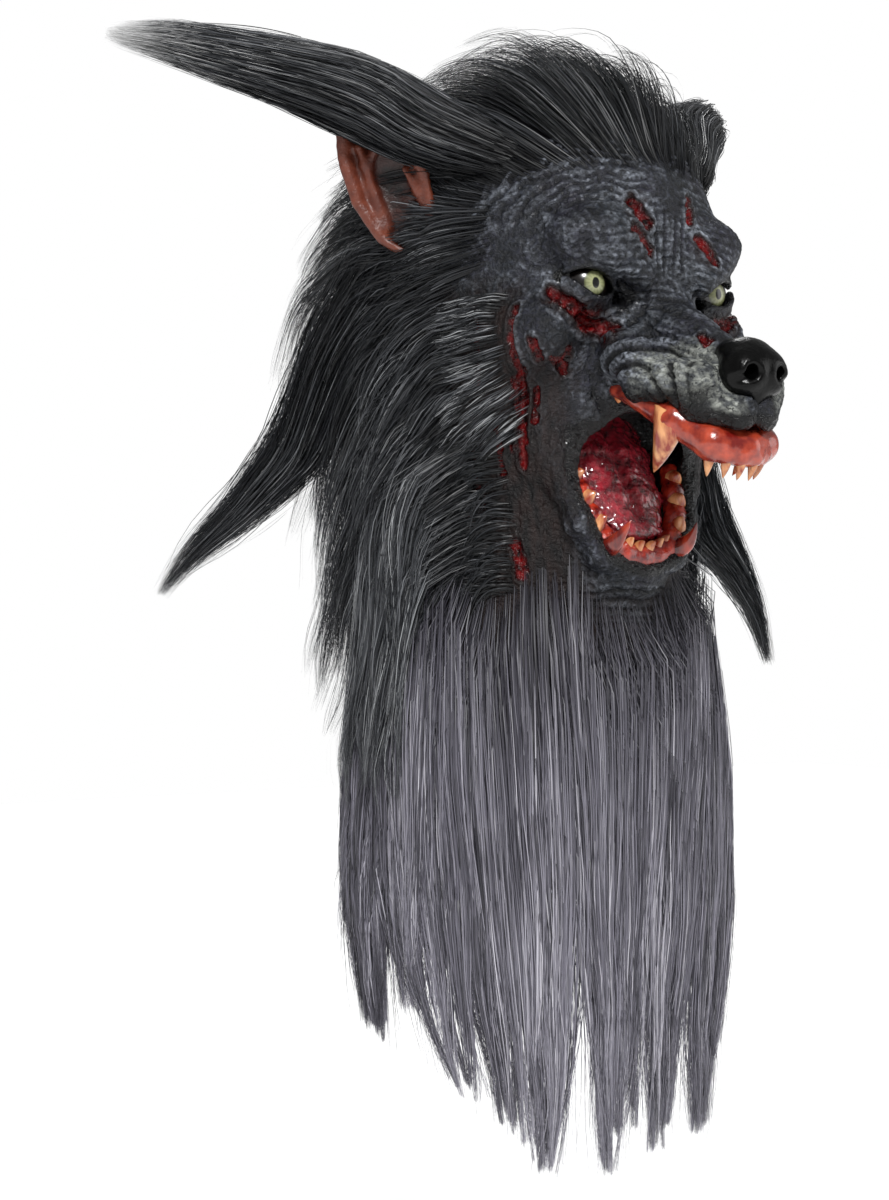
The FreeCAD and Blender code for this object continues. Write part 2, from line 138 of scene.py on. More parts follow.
def surface_net(field, low, high, cell):
    """Quads on the zero level of a distance field, sampled on a grid of the given cell size."""
    axes = [np.arange(a, b + cell, cell, dtype=np.float32) for a, b in zip(low, high)]
    grid = np.stack(np.meshgrid(*axes, indexing="ij"), axis=-1)
    d = np.concatenate([field(slab) for slab in np.array_split(grid, 12, axis=0)], axis=0)
    inside = d < 0
    corners = list(np.ndindex(2, 2, 2))
    pairs = [(a, b) for a in corners for b in corners if a < b]
    edges = [(a, b) for a, b in pairs if sum(abs(u - v) for u, v in zip(a, b)) == 1]
    shape = tuple(n - 1 for n in d.shape)

    def at(array, corner):
        return array[tuple(slice(c, c + n) for c, n in zip(corner, shape))]

    count = sum(at(inside, c).astype(np.int8) for c in corners)
    mixed = (count > 0) & (count < 8)
    cells = np.argwhere(mixed)
    total = np.zeros((len(cells), 3), np.float32)
    hits = np.zeros(len(cells), np.float32)
    for a, b in edges:
        da = at(d, a)[mixed]
        db = at(d, b)[mixed]
        crossed = (da < 0) != (db < 0)
        t = np.where(crossed, da / np.where(crossed, da - db, 1.0), 0.0)[:, None]
        total += crossed[:, None] * (np.array(a) + t * (np.array(b) - np.array(a)))
        hits += crossed
    points = np.array([axis[0] for axis in axes]) + (cells + total / hits[:, None]) * cell
    index = -np.ones(shape, np.int64)
    index[mixed] = np.arange(len(cells))
    faces = []
    for axis in range(3):
        u, v = [(1, 2), (2, 0), (0, 1)][axis]
        step = np.eye(3, dtype=int)
        lower = tuple(slice(0, n - 1) if i == axis else slice(0, n) for i, n in enumerate(d.shape))
        upper = tuple(slice(1, n) if i == axis else slice(0, n) for i, n in enumerate(d.shape))
        change = np.argwhere(inside[lower] != inside[upper])
        limit = np.array(shape)
        keep = (change[:, u] > 0) & (change[:, v] > 0) & (change[:, u] < limit[u]) & (change[:, v] < limit[v])
        change = change[keep & (change[:, axis] < limit[axis])]
        quad = [change - step[u] * a - step[v] * b for a, b in ((1, 1), (0, 1), (0, 0), (1, 0))]
        quad = np.stack([index[tuple(q.T)] for q in quad], axis=1)
        flip = ~inside[tuple(change.T)]
        quad[flip] = quad[flip][:, ::-1]
        faces.append(quad)
    return points, np.concatenate(faces)


def slope(field, points, step=0.6):
    """Unit outward direction of a distance field at the points."""
    grads = [field(points + vec(*axis) * step) - field(points - vec(*axis) * step) for axis in np.eye(3)]
    g = np.stack(grads, axis=-1)
    return g / (np.linalg.norm(g, axis=-1, keepdims=True) + 1e-9)


def subdivided(points, faces):
    """Each quad cut into four, with shared edge points."""
    edges = np.stack([faces, np.roll(faces, -1, axis=1)], axis=-1)
    low_high = np.sort(edges.reshape(-1, 2), axis=1)
    unique, back = np.unique(low_high, axis=0, return_inverse=True)
    mids = points[unique].mean(axis=1)
    centres = points[faces].mean(axis=1)
    e = back.reshape(-1, 4) + len(points)
    c = np.arange(len(faces)) + len(points) + len(mids)
    quads = [np.stack([faces[:, i], e[:, i], c, e[:, i - 1]], axis=1) for i in range(4)]
    return np.concatenate([points, mids, centres]), np.concatenate(quads)


def sculpt(name, field, low, high, cell, fine=0, relief=None, keep=None):
    """Skin of a distance field as a mesh with its relief, and its points before that relief."""
    points, faces = surface_net(field, low, high, cell)
    if keep is not None:
        faces = faces[keep(points[faces].mean(axis=1))]
        used, back = np.unique(faces, return_inverse=True)
        points, faces = points[used], back.reshape(-1, 4)
    for _ in range(fine):
        points, faces = subdivided(points, faces)
    for _ in range(3):
        distance = field(points)
        points = points - slope(field, points) * np.clip(distance, -cell, cell)[:, None] * 0.9
    rest = points.copy()
    if relief is not None:
        points = points + slope(field, points) * relief(points)[:, None]
    return mesh_piece(name, points, faces), rest


def paint(piece, name, masks):
    """Keep up to four painted masks on a piece, one in each channel."""
    layer = piece.data.attributes.new(name, "FLOAT_COLOR", "POINT")
    rgba = np.ones((len(piece.data.vertices), 4), np.float32)
    for channel, values in enumerate(masks):
        rgba[:, channel] = np.clip(values, 0, 1)
    layer.data.foreach_set("color", rgba.ravel())


# ---- the form of the head, in millimetres ------------------------------------------------------
SKULL_LEVEL, SKULL_RISE = -105.0, 108.0
NECK_Z = np.array([-470.0, -380.0, -300.0, -235.0, -165.0, SKULL_LEVEL])
NECK_HALF_WIDTH = np.array([108.0, 100.0, 84.0, 80.0, 90.0, 92.0])
NECK_HALF_DEPTH = np.array([80.0, 84.0, 80.0, 84.0, 98.0, 103.0])
NECK_SHIFT = np.array([30.0, 30.0, 28.0, 24.0, 19.0, 15.0])
HEM_Z = -462.0
EYE = (43.5, -66.0, -122.0)
EYE_R = 14.0


def head_form(p):
    """Skull dome above its widest level, and the neck and bib below it."""
    z = p[..., 2]
    a = np.interp(z, NECK_Z, NECK_HALF_WIDTH).astype(np.float32)
    b = np.interp(z, NECK_Z, NECK_HALF_DEPTH).astype(np.float32)
    c = np.interp(z, NECK_Z, NECK_SHIFT).astype(np.float32)
    rise = np.maximum(z - SKULL_LEVEL, 0.0)
    x, y = p[..., 0], p[..., 1] - c
    k0 = np.sqrt((x / a) ** 2 + (y / b) ** 2 + (rise / SKULL_RISE) ** 2) + 1e-6
    k1 = np.sqrt((x / a**2) ** 2 + (y / b**2) ** 2 + (rise / SKULL_RISE**2) ** 2) + 1e-6
    return k0 * (k0 - 1.0) / k1


def mirrored_x(p):
    q = p.copy()
    q[..., 0] = np.abs(q[..., 0])
    return q


def band(value, up, full, down, gone):
    """0 up to one value, 1 from the next, and back to 0 from the third to the last."""
    return smoothstep(up, full, value) * (1 - smoothstep(down, gone, value))


def eye_slit(q):
    """Height above the slanted slit of the lids, less the slit's half height there."""
    along = q[..., 0] - EYE[0] - 3
    across = q[..., 2] - EYE[2] - 0.28 * along - 0.2
    return np.abs(across) - 6.6 * np.clip(1.0 - (along / 13.5) ** 2, -0.6, 1.0)


def mouth_bowl(q):
    """Lower half of the mouth: a round bar widened sideways."""
    return bar(q * vec(1 / 1.62, 1, 1), (0, -43, -208), (0, -79, -261), 26, 16)


MOUTH_ROOF = ((0, -98, -205), (33, 58, 18))
JAW_RIM = (
    ((47, -42, -205), (45, -49, -228), 8.0, 7.5),
    ((45, -49, -228), (37, -57, -252), 7.5, 7.5),
    ((37, -57, -252), (26, -61, -270), 7.5, 7.0),
    ((26, -61, -270), (0, -64, -277), 7.0, 7.0),
)
# Each step: the form, its sizes and its fillet, which is negative where the form is carved out.
FACE_STEPS = (
    (egg, ((37, -69, -95), (29, 21, 17)), 9),                   # brow bone
    (bar, ((14, -83, -116), (26, -83, -104), 7.5, 9.5), 7),     # frown
    (egg, ((0, -70, -80), (20, 15, 26)), 12),                   # middle of the forehead
    (bar, ((0, -74, -146), (0, -142, -177), 25, 16), 14),       # muzzle
    (egg, ((62, -42, -147), (19, 34, 22)), 14),                 # cheek bone
    (bar, ((28, -84, -160), (31, -100, -168), 14, 12), 7),      # fold behind the lip
    (bar, ((33, -103, -178), (22, -138, -180), 11, 12.5), 5),   # upper lip
    (bar, ((20, -136, -190), (7, -150, -195), 13, 12.5), 5),    # upper lip under the nose
    (bar, ((58, -8, -185), (46, -42, -215), 20, 13), 14),       # jaw muscle
    (bar, ((41, -16, -215), (18, -37, -266), 24, 19), 14),      # side of the lower jaw
    (egg, ((0, -43, -281), (30, 24, 15)), 8),                   # chin
    *((bar, rim, 6) for rim in JAW_RIM),
    (mouth_bowl, (), -4),
    (egg, MOUTH_ROOF, -5),
    (bar, ((36, -76, -204), (30, -120, -205), 13, 10), -5),     # under the upper lip
    (egg, ((EYE[0], -88, EYE[2] - 1), (17, 10, 11)), -7),       # eye socket
)
BROW_STEPS = (
    (bar, ((27.5, -100, -132), (29, -72, -129), 4.2, 4.2), -2.5),   # peephole
    (bar, ((58, -70, -104), (38, -84, -107), 5, 7), 5),
    (bar, ((38, -84, -107), (22, -90, -118), 7, 7.5), 5),
)


def face_field(p):
    q = mirrored_x(p)
    d = built(q, head_form(p), FACE_STEPS)
    gap = np.sqrt(np.sum((q - vec(*EYE)) ** 2, axis=-1))
    lids = np.maximum(np.abs(gap - EYE_R - 2.7) - 1.8, q[..., 1] - EYE[1] + 3)
    opening = np.maximum(eye_slit(q), q[..., 1] - EYE[1] + 4)
    d = blend_cut(blend_union(d, lids, 5), opening, 2.0)
    return np.maximum(built(q, d, BROW_STEPS), HEM_Z - p[..., 2])


def mouth_depth(q):
    """Distance into the mouth cavity, negative inside it."""
    return np.minimum(mouth_bowl(q), egg(q, *MOUTH_ROOF))


# ---- relief sculpted into the face: wrinkles, folds and gashes ---------------------------------
# Each gash: start, end, half width, depth. Only these differ between the two sides.
GASHES = (
    ((-24, -86, -75), (-15, -87, -88), 3.6, 3.0),
    ((-26, -88, -93), (-17, -88, -104), 3.2, 2.6),
    ((20, -86, -72), (15, -86, -84), 3.4, 2.8),
    ((22, -88, -95), (29, -88, -108), 3.2, 2.6),
    ((-62, -64, -128), (-48, -74, -144), 5.0, 3.0),
    ((-48, -74, -144), (-34, -80, -146), 4.2, 2.6),
    ((-12, -128, -152), (-11, -132, -157), 3.0, 2.8),
    ((-60, -62, -154), (-54, -64, -172), 3.0, 2.8),
    ((-66, -58, -150), (-66, -58, -157), 2.6, 2.4),
    ((-72, -49, -138), (-66, -40, -222), 2.7, 3.0),
    ((-86, -25, -140), (-84, -22, -176), 1.9, 2.0),
    ((-78, -30, -200), (-72, -28, -226), 2.0, 2.2),
    ((-60, -48, -176), (-60, -44, -196), 1.8, 2.0),
    ((-77, -4, -238), (-74, -6, -252), 3.8, 3.0),
    ((-79, 16, -261), (-79, 16, -266), 3.6, 2.6),
    ((-60, -28, -264), (-56, -30, -282), 3.2, 2.4),
    ((64, -60, -130), (46, -74, -146), 4.5, 2.6),
    ((74, -44, -150), (72, -42, -210), 3.2, 2.6),
)


def on_skin(a, b):
    """Points from a to b, at most about 15 mm apart, settled on the face."""
    a, b = vec(*a), vec(*b)
    steps = 1 + int(np.linalg.norm(b - a) / 15)
    row = a + (b - a) * np.linspace(0, 1, steps + 1, dtype=np.float32)[:, None]
    for _ in range(4):
        row = row - slope(face_field, row) * face_field(row)[:, None]
    return row


def gash_field(points):
    """How far inside a gash each point is: depth to sink, raised lip, and a 0 to 1 wet mask."""
    sink = np.zeros(len(points), np.float32)
    wet = np.zeros(len(points), np.float32)
    ragged = noise(points, 3.4, 5) * 1.6 + noise(points, 1.6, 6) * 0.5
    for start, end, half_width, depth in GASHES:
        row = on_skin(start, end)
        gap = np.min([bar(points, a, b, 0.0, 0.0) for a, b in zip(row, row[1:])], axis=0) + ragged
        s = gap / half_width
        sink += -depth * np.exp(-(s * 1.3) ** 2) + 0.45 * depth * np.exp(-((s - 1.45) / 0.45) ** 2)
        wet = np.maximum(wet, 1 - smoothstep(0.4, 1.8, s))
    return sink, wet


def folds(distance, spacing, sharpness=2.2):
    """Rounded ridges with narrow creases between them, from 0 in a crease to 1 on a ridge."""
    wave = 0.5 + 0.5 * np.cos(distance * 2 * math.pi / spacing)
    return 1 - wave**sharpness


def face_relief(points):
    """Height of the sculpted skin over the smooth form, in millimetres."""
    q = mirrored_x(points)
    x, y, z = q.T
    wander = noise(points, 14.0, 1)
    small = noise(points, 4.5, 2)
    tiny = noise(points, 2.0, 3)
    brow_gap = np.sqrt((x - 30) ** 2 + (1.15 * (z + 98)) ** 2)
    forehead = smoothstep(20, 27, brow_gap) * band(z, -98, -84, -48, -36) * smoothstep(6, 16, x)
    lift = forehead * 0.9 * (folds(brow_gap + 6.0 * wander + 1.5 * small, 5.6) - 0.6)
    scowl = np.exp(-((x - 6) / 7) ** 2) * band(z, -122, -110, -88, -76)
    lift += scowl * 1.3 * (folds(x * 1.2 + 1.5 * wander + 2, 6.5) - 0.5)
    bridge = band(-y, 80, 96, 138, 146) * smoothstep(-188, -166, z - 0.25 * (y + 100))
    across = z - 0.42 * y + 0.16 * x + 2.2 * wander + 0.8 * small
    lift += bridge * 1.5 * (folds(across, 4.3) - 0.6) * (0.6 + 0.4 * noise(points, 17.0, 7))
    snarl_gap = np.sqrt((y + 104) ** 2 + (z + 188) ** 2)
    snarl = band(snarl_gap, 11, 16, 34, 42) * smoothstep(14, 24, x) * smoothstep(-196, -186, z)
    lift += snarl * 2.6 * (folds(snarl_gap + 2.4 * wander, 9.5, 3.0) - 0.55)
    under_eye = np.sqrt((x - EYE[0]) ** 2 + (z - EYE[2]) ** 2)
    bag = band(under_eye, 15, 19, 30, 36) * smoothstep(-118, -130, z) * smoothstep(-60, -66, y)
    lift += bag * 1.2 * (folds(under_eye + 1.6 * wander, 5.5) - 0.5)
    chin = smoothstep(-284, -288, z) * smoothstep(-30, -44, y)
    lift += chin * 1.1 * (folds(z + 1.5 * wander, 4.6) - 0.5)
    jowl = band(-z, 184, 196, 284, 288) * smoothstep(30, 40, x)
    lift += jowl * 0.7 * noise(points * vec(1, 1, 0.28), 3.4, 9)
    leather = folds(z + 0.5 * x + 3.0 * small + 2.0 * wander, 3.1) - 0.6
    lift += 0.35 * small + 0.3 * tiny + 0.5 * wander + 0.3 * leather
    sink, _ = gash_field(points)
    calm = 0.25 + 0.75 * smoothstep(16, 20, np.sqrt(np.sum((q - vec(*EYE)) ** 2, axis=-1)))
    return lift * calm + sink


def face_masks(points):
    """Wet blood, pale lip pads, black rims, and the near-black neck, jaw side and back of the cheek, as masks
    from 0 to 1.
    """
    q = mirrored_x(points)
    x, y, z = q.T
    ragged = noise(points, 7.0, 11) * 0.5 + noise(points, 2.6, 12) * 0.5
    _, wet = gash_field(points)
    under_eye = bar(q, (60, -66, -134), (40, -80, -146), 0, 0) + 4 * ragged
    sore = 0.9 * (1 - smoothstep(5, 15, under_eye)) * smoothstep(-0.8, 0.2, ragged)
    brow = bar(q, (20, -86, -76), (24, -90, -106), 0, 0) + 5 * ragged
    brow_sore = 0.5 * (1 - smoothstep(4, 13, brow)) * smoothstep(-0.3, 0.5, ragged)
    runs = smoothstep(0.3, 0.6, noise(points * vec(1, 1, 0.12), 6.0, 15)) * band(-z, 146, 160, 240, 262)
    runs = 0.8 * runs * smoothstep(46, 56, x) * smoothstep(0.0, 0.5, noise(points, 5.0, 16) + 0.3)
    wet = np.max([wet, sore, brow_sore, runs], axis=0)
    pad = smoothstep(-102, -114, y) * smoothstep(8, 15, x)
    pale = pad * (1 - smoothstep(-160, -150, z + 0.25 * (y + 130))) * (0.7 + 0.4 * ragged)
    down = -slope(face_field, points)[:, 2]
    lip = smoothstep(-0.1, 0.3, down) * smoothstep(-60, -70, y) * band(-z, 178, 186, 210, 216)
    mouth_rim = (1 - smoothstep(5.0, 9.0, mouth_depth(q) + ragged)) * smoothstep(-186, -194, z)
    near_eye = 1 - smoothstep(17, 21, np.sqrt(np.sum((q - vec(*EYE)) ** 2, axis=-1)))
    lid = near_eye * (1 - smoothstep(0.8, 4.5, eye_slit(q)))
    corner_gap = np.sqrt(np.sum((q - vec(27, -78, -128)) ** 2, axis=-1))
    rim = np.max([lip, mouth_rim, lid, 0.85 * (1 - smoothstep(7, 14, corner_gap))], axis=0)
    # near black over the neck, the side of the jaw and the back of the cheek, kept in the alpha channel
    neck = smoothstep(-170, -205, z + 6 * ragged) * smoothstep(-62, -46, y)
    jaw = 0.9 * smoothstep(-142, -172, z + 5 * ragged) * smoothstep(38, 54, x) * smoothstep(-84, -62, y)
    cheek = smoothstep(-112, -134, z + 5 * ragged) * smoothstep(-58, -44, y)
    return wet, pale, rim, np.max([neck, jaw, cheek], axis=0)


# ---- materials ---------------------------------------------------------------------------------
MIX = ("Mix", {"data_type": "RGBA"})
TIMES = ("Math", {"operation": "MULTIPLY", "use_clamp": True})
SCALE = ("Math", {"operation": "MULTIPLY_ADD"})


def srgb(code):
    """Linear colour from a hex value."""
    parts = [int(code[i:i + 2], 16) / 255 for i in (1, 3, 5)]
    return tuple(c / 12.92 if c <= 0.04045 else ((c + 0.055) / 1.055) ** 2.4 for c in parts) + (1.0,)


def feed(tree, socket, value):
    """Give a socket a number, a hex colour, or a link from an output or from a node's first output."""
    if isinstance(value, bpy.types.Node):
        value = next(output for output in value.outputs if output.enabled)
    if isinstance(value, bpy.types.NodeSocket):
        tree.links.new(value, socket)
    elif value is not None:
        socket.default_value = srgb(value) if isinstance(value, str) else value


def node(tree, kind, *values, **settings):
    """Add a node of a kind, or of a kind named with its settings, and feed its sockets in their order."""
    if isinstance(kind, tuple):
        kind, settings = kind
    made = tree.nodes.new("ShaderNode" + kind)
    for name, value in settings.items():
        setattr(made, name, value)
    for socket, value in zip([s for s in made.inputs if s.enabled], values):
        feed(tree, socket, value)
    return made


def blank_material(name):
    material = bpy.data.materials.new(name)
    material.use_nodes = True
    return material, material.node_tree


def surfaced(material, sockets):
    """The material with the sockets of its own shader fed by name."""
    tree = material.node_tree
    for name, value in sockets.items():
        feed(tree, tree.nodes["Principled BSDF"].inputs[name], value)
    return material


def grain(tree, size_mm, detail=3.0, stretch=(1, 1, 1), seed=0.0, low=0.35, high=0.65):
    """Noise with features of a real size, as a 0 to 1 amount."""
    place = node(tree, "TexCoord").outputs["Object"]
    squash = node(tree, "Mapping", place, (seed, seed, seed), None, stretch)
    cloud = node(tree, "TexNoise", squash, 1 / (size_mm * MM), detail)
    return node(tree, "MapRange", cloud, low, high)


def painted_latex():
    """Cast latex in sponged slate greys: painted shade in the creases and cracks, pale dry-brushed paint with
    a painted highlight on the ridges, wet red gashes.
    """
    material, tree = blank_material("painted cast latex")
    masks = node(tree, "Attribute", attribute_name="face_paint")
    wet, pale, rim = node(tree, "SeparateColor", masks).outputs[:3]
    relief = node(tree, "Attribute", attribute_name="crease").outputs["Fac"]
    fine = grain(tree, 2.6, 7, seed=1, low=0.34, high=0.68)
    broad = grain(tree, 18, 4, seed=3)
    colour = node(tree, MIX, broad, "#191c21", "#30353d")
    violet = node(tree, SCALE, grain(tree, 30, 2, seed=8), 0.3, 0.0)
    colour = node(tree, MIX, violet, colour, "#3a3348")
    # fine mottle that is also the bump's height: partly random tone, partly painted shade in its low spots
    colour = node(tree, MIX, fine, "#131519", colour)
    # leather cracks about 4.5 mm apart, a little longer sideways than up
    place = node(tree, "Mapping", node(tree, "TexCoord").outputs["Object"], None, None, (1, 1, 1.7))
    cells = node(tree, "TexVoronoi", place, 1 / (4.5 * MM), feature="DISTANCE_TO_EDGE")
    crack = node(tree, "MapRange", cells, 0.0, 0.16)
    leather = node(tree, TIMES, crack, fine)
    # pale dry-brushed paint and a painted highlight: lighter where the sculpted relief is raised
    ridge = node(tree, TIMES, node(tree, "MapRange", relief, 0.5, 0.74), fine)
    patchy = node(tree, SCALE, broad, 0.6, 0.4)
    ridge = node(tree, TIMES, ridge, patchy)
    colour = node(tree, MIX, ridge, colour, "#9aa0aa")
    streak = grain(tree, 3.2, 4, stretch=(1, 0.22, 1), seed=7, low=0.38, high=0.62)
    lip_pad = node(tree, MIX, streak, "#4b4e4f", "#a9aca4")
    speck = node(tree, SCALE, grain(tree, 1.9, 1, seed=5, low=0.63, high=0.66), 0.8, 0.0)
    lip_pad = node(tree, MIX, speck, lip_pad, "#0d0e10")
    colour = node(tree, MIX, pale, colour, lip_pad)
    # painted shade: near black where the sculpted relief is low, in the creases
    hollow = node(tree, SCALE, node(tree, "MapRange", relief, 0.47, 0.3), 0.9, 0.0)
    colour = node(tree, MIX, hollow, colour, "#08090b")
    # painted shade along the leather cracks, which are the low lines of the bump
    colour = node(tree, MIX, node(tree, SCALE, crack, 0.4, 0.6), "#07080a", colour)
    # near black, streaked, over the back of the cheeks, the side of the jaw and the neck
    dark_jaw_and_neck = node(tree, MIX, grain(tree, 5, 6, (1, 1, 0.3), seed=6), "#060405", "#1e1210")
    colour = node(tree, MIX, masks.outputs["Alpha"], colour, dark_jaw_and_neck)
    colour = node(tree, MIX, rim, colour, "#060607")
    clot = node(tree, "MapRange", wet, 0.05, 0.5)
    colour = node(tree, MIX, clot, colour, "#120304")
    blood = node(tree, MIX, grain(tree, 4.5, 5, seed=2, low=0.36, high=0.66), "#110102", "#6c0b0d")
    fresh = node(tree, "MapRange", wet, 0.55, 1.0)
    colour = node(tree, MIX, fresh, colour, blood)
    glossy = node(tree, "Math", wet, rim, operation="MAXIMUM", use_clamp=True)
    half_leather = node(tree, SCALE, leather, 0.5, 0.0)
    height = node(tree, "Math", fine, half_leather, operation="ADD", use_clamp=True)
    return surfaced(material, {
        "Base Color": colour,
        "Roughness": node(tree, SCALE, glossy, -0.38, 0.5),
        "Specular IOR Level": 0.3,
        "Normal": node(tree, "Bump", 1.0, 0.7 * MM, None, height),
    })


def wet_cast(name, low, high, size_mm, roughness, bump_mm, bump_size_mm, coat, stretch=(1, 1, 1)):
    """Cast latex or resin under wet gloss: mottled from low to high, with fine lumps and a clear coat."""
    material, tree = blank_material(name)
    lumps = grain(tree, bump_size_mm, 3, low=0.2, high=0.8)
    return surfaced(material, {
        "Base Color": node(tree, MIX, grain(tree, size_mm, 5, stretch), low, high),
        "Roughness": roughness,
        "Coat Weight": coat,
        "Coat Roughness": 0.08,
        "Normal": node(tree, "Bump", 1.0, bump_mm * MM, None, lumps),
    })


def finish_piece(piece, material, slot, *nodes):
    piece.data.materials.clear()
    piece.data.materials.append(material)
    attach(piece, "root")
    if nodes:
        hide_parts(*nodes)


# ---- face --------------------------------------------------------------------------------------
def outer_skin(centres):
    """Faces kept: the outer skin and the mouth, without the hollow's back and the cut neck."""
    outside = (head_form(centres) > -14) | (mouth_depth(mirrored_x(centres)) < 8)
    return outside & (centres[:, 2] > -330) & (centres[:, 1] < 26)


def make_face():
    low, high = (-104, -176, -334), (104, 30, 8)
    cell = 2.0
    piece, rest = sculpt("face_skin", face_field, low, high, cell, 1, face_relief, outer_skin)
    paint(piece, "face_paint", face_masks(rest))
    height = piece.data.attributes.new("crease", "FLOAT", "POINT")
    height.data.foreach_set("value", np.clip(0.5 + 0.22 * face_relief(rest), 0, 1).astype(np.float32))
    finish_piece(piece, painted_latex(), "latex_skin", "latex_face", "latex_lower_jaw", "mouth_lining")


# ---- camera, floor and lights ------------------------------------------------------------------
def look(thing, place, target):
    thing.location = Vector(place) * MM
    thing.rotation_euler = (Vector(target) - Vector(place)).to_track_quat("-Z", "Y").to_euler()
    bpy.context.scene.collection.objects.link(thing)


CAMERA_AZIMUTH = -36.0
CAMERA_DISTANCE = 1450.0
CAMERA_LEVEL = -294.6
SENSOR = 24.0
PICTURE_HEIGHT = 696.0      # millimetres seen at the head's axis
ASIDE = 72.2                # the head's axis stands this far right of the picture's middle


def set_camera():
    data = bpy.data.cameras.new("camera")
    data.sensor_fit = "VERTICAL"
    data.sensor_height = SENSOR
    data.lens = SENSOR * CAMERA_DISTANCE / PICTURE_HEIGHT
    turn = math.radians(CAMERA_AZIMUTH)
    side = (-ASIDE * math.cos(turn), -ASIDE * math.sin(turn))
    away = (math.sin(turn) * CAMERA_DISTANCE, -math.cos(turn) * CAMERA_DISTANCE)
    camera = bpy.data.objects.new("camera", data)
    place = (side[0] + away[0], side[1] + away[1], CAMERA_LEVEL)
    look(camera, place, (side[0], side[1], CAMERA_LEVEL))
    bpy.context.scene.camera = camera


def set_light(name, place, size_degrees, strength):
    data = bpy.data.lights.new(name, "SUN")
    data.angle = math.radians(size_degrees)
    data.energy = strength
    look(bpy.data.objects.new(name, data), place, (0, 0, 0))


FLOOR_DROP = 300    # the floor is this far under the mask, so that no shadow of it shows
FLOOR_REACH = 6000
CAMERA_WHITE, LIGHT_WHITE = 1.0, 0.28    # studio backdrop as seen, and as it lights the mask


def set_stage():
    level = CAD_BOX[0][2] / MM - FLOOR_DROP
    corners = [(x * FLOOR_REACH, y * FLOOR_REACH, level) for x, y in ((-1, -1), (1, -1), (1, 1), (-1, 1))]
    floor = mesh_piece("floor", corners, [(0, 1, 2, 3)], smooth=False)
    paper, _ = blank_material("matt white studio paper")
    floor.data.materials.append(surfaced(paper, {"Base Color": "#fbfbfb", "Roughness": 0.9}))
    world = bpy.data.worlds.new("studio")
    bpy.context.scene.world = world
    world.use_nodes = True
    tree = world.node_tree
    backdrop = tree.nodes["Background"]
    backdrop.inputs[0].default_value = (1, 1, 1, 1)
    seen = node(tree, "LightPath").outputs["Is Camera Ray"]
    feed(tree, backdrop.inputs[1], node(tree, SCALE, seen, CAMERA_WHITE - LIGHT_WHITE, LIGHT_WHITE))
    set_light("key", (-700, -1100, 1100), 14, 3.3)
    set_light("fill", (1500, -900, 300), 40, 0.6)
    set_light("rim", (600, 1100, 1000), 25, 1.4)
    bpy.context.scene.view_settings.view_transform = "Standard"


# ---- mouth parts, nose, eyes and ears ----------------------------------------------------------
def chain(q, *balls):
    """Round bar through a row of (x, y, z, radius) stations."""
    d = None
    for a, b in zip(balls, balls[1:]):
        piece = bar(q, a[:3], b[:3], a[3], b[3])
        d = piece if d is None else blend_union(d, piece, 3)
    return d


def with_balls(q, d, *balls):
    """Field d with balls of (x, y, z, radius) melted on."""
    for x, y, z, r in balls:
        d = blend_union(d, np.linalg.norm(q - vec(x, y, z), axis=-1) - r, 3)
    return d


UPPER_ARCH = (
    (31, -80, -180, 4), (32, -100, -186, 5.5), (28, -122, -198, 8),
    (17, -142, -211, 9.5), (0, -148, -214, 10),
)
LOWER_ARCH = (
    (38, -45, -222, 6), (34, -54, -245, 6.5), (24, -60, -262, 7), (12, -62, -269, 7), (0, -63, -271, 7),
)


def upper_gum_field(p):
    q = mirrored_x(p)
    d = chain(q, *UPPER_ARCH)
    d = blend_union(d, egg(q, (0, -110, -187), (29, 40, 6)), 6)
    canine_root = (27, -123, -199, 10)
    front_roots = (5, -151, -219, 4.5), (12, -148, -218, 4.5), (18, -142, -216, 4.5)
    d = with_balls(q, d, canine_root, *front_roots)
    return d + 0.3 * noise(p, 9, 21)


def lower_gum_field(p):
    q = mirrored_x(p)
    d = chain(q, *LOWER_ARCH)
    d = blend_union(d, egg(q, (0, -51, -266), (20, 9, 9)), 6)
    d = with_balls(q, d, (22, -62, -264, 7.5), (35, -52, -234, 6.5), (31, -58, -248, 6.5))
    return d + 0.45 * noise(p, 5, 23) + 0.25 * noise(p, 2.2, 24)


TONGUE_LINE = ((-18, -190), (-33, -213), (-48, -238), (-61, -256))


def tongue_field(p):
    """Broad tongue that lies in the lower jaw, with a groove down its middle and rough taste buds."""
    x, y, z = p[..., 0], p[..., 1], p[..., 2]
    flat = p * vec(0.31, 1, 1)
    stations = [(0, yy, zz, r) for (yy, zz), r in zip(TONGUE_LINE, (9.5, 9.5, 8.5, 5.5))]
    d = chain(flat, *stations)
    groove = 3.4 * np.exp(-(x / 3.2) ** 2) * smoothstep(-262, -240, z)
    return d + groove + 1.1 * np.abs(noise(p * vec(1, 1, 0.7), 2.4, 25)) + 0.4 * noise(p, 8, 26)


NOSE_STEPS = (
    (egg, ((9, -157, -175), (10, 11, 11)), 5),                    # wing
    (egg, ((0, -145, -162), (14, 12, 7)), 6),                     # top
    (bar, ((0, -158, -182), (0, -154, -197), 4.5, 3.2), 5),       # bridge to the lip
    (bar, ((10, -174, -177), (10, -158, -173), 4.6, 3.0), -3),    # nostril
    (bar, ((12, -168, -178), (22, -158, -181), 2.4, 1.6), -3),    # slit beside it
    (bar, ((0, -172, -190), (0, -170, -172), 1.6, 0.8), -2),      # middle groove
)


def nose_field(p):
    q = mirrored_x(p)
    d = built(q, egg(q, (0, -153, -173), (18.5, 15, 16.5)), NOSE_STEPS)
    return d + 0.22 * np.abs(noise(p, 1.8, 27))


def sculpted_part(name, field, low, high, cell, material, slot, cad_node):
    piece, _ = sculpt(name + "_cast", field, low, high, cell * (1.0))
    finish_piece(piece, material, slot, cad_node)


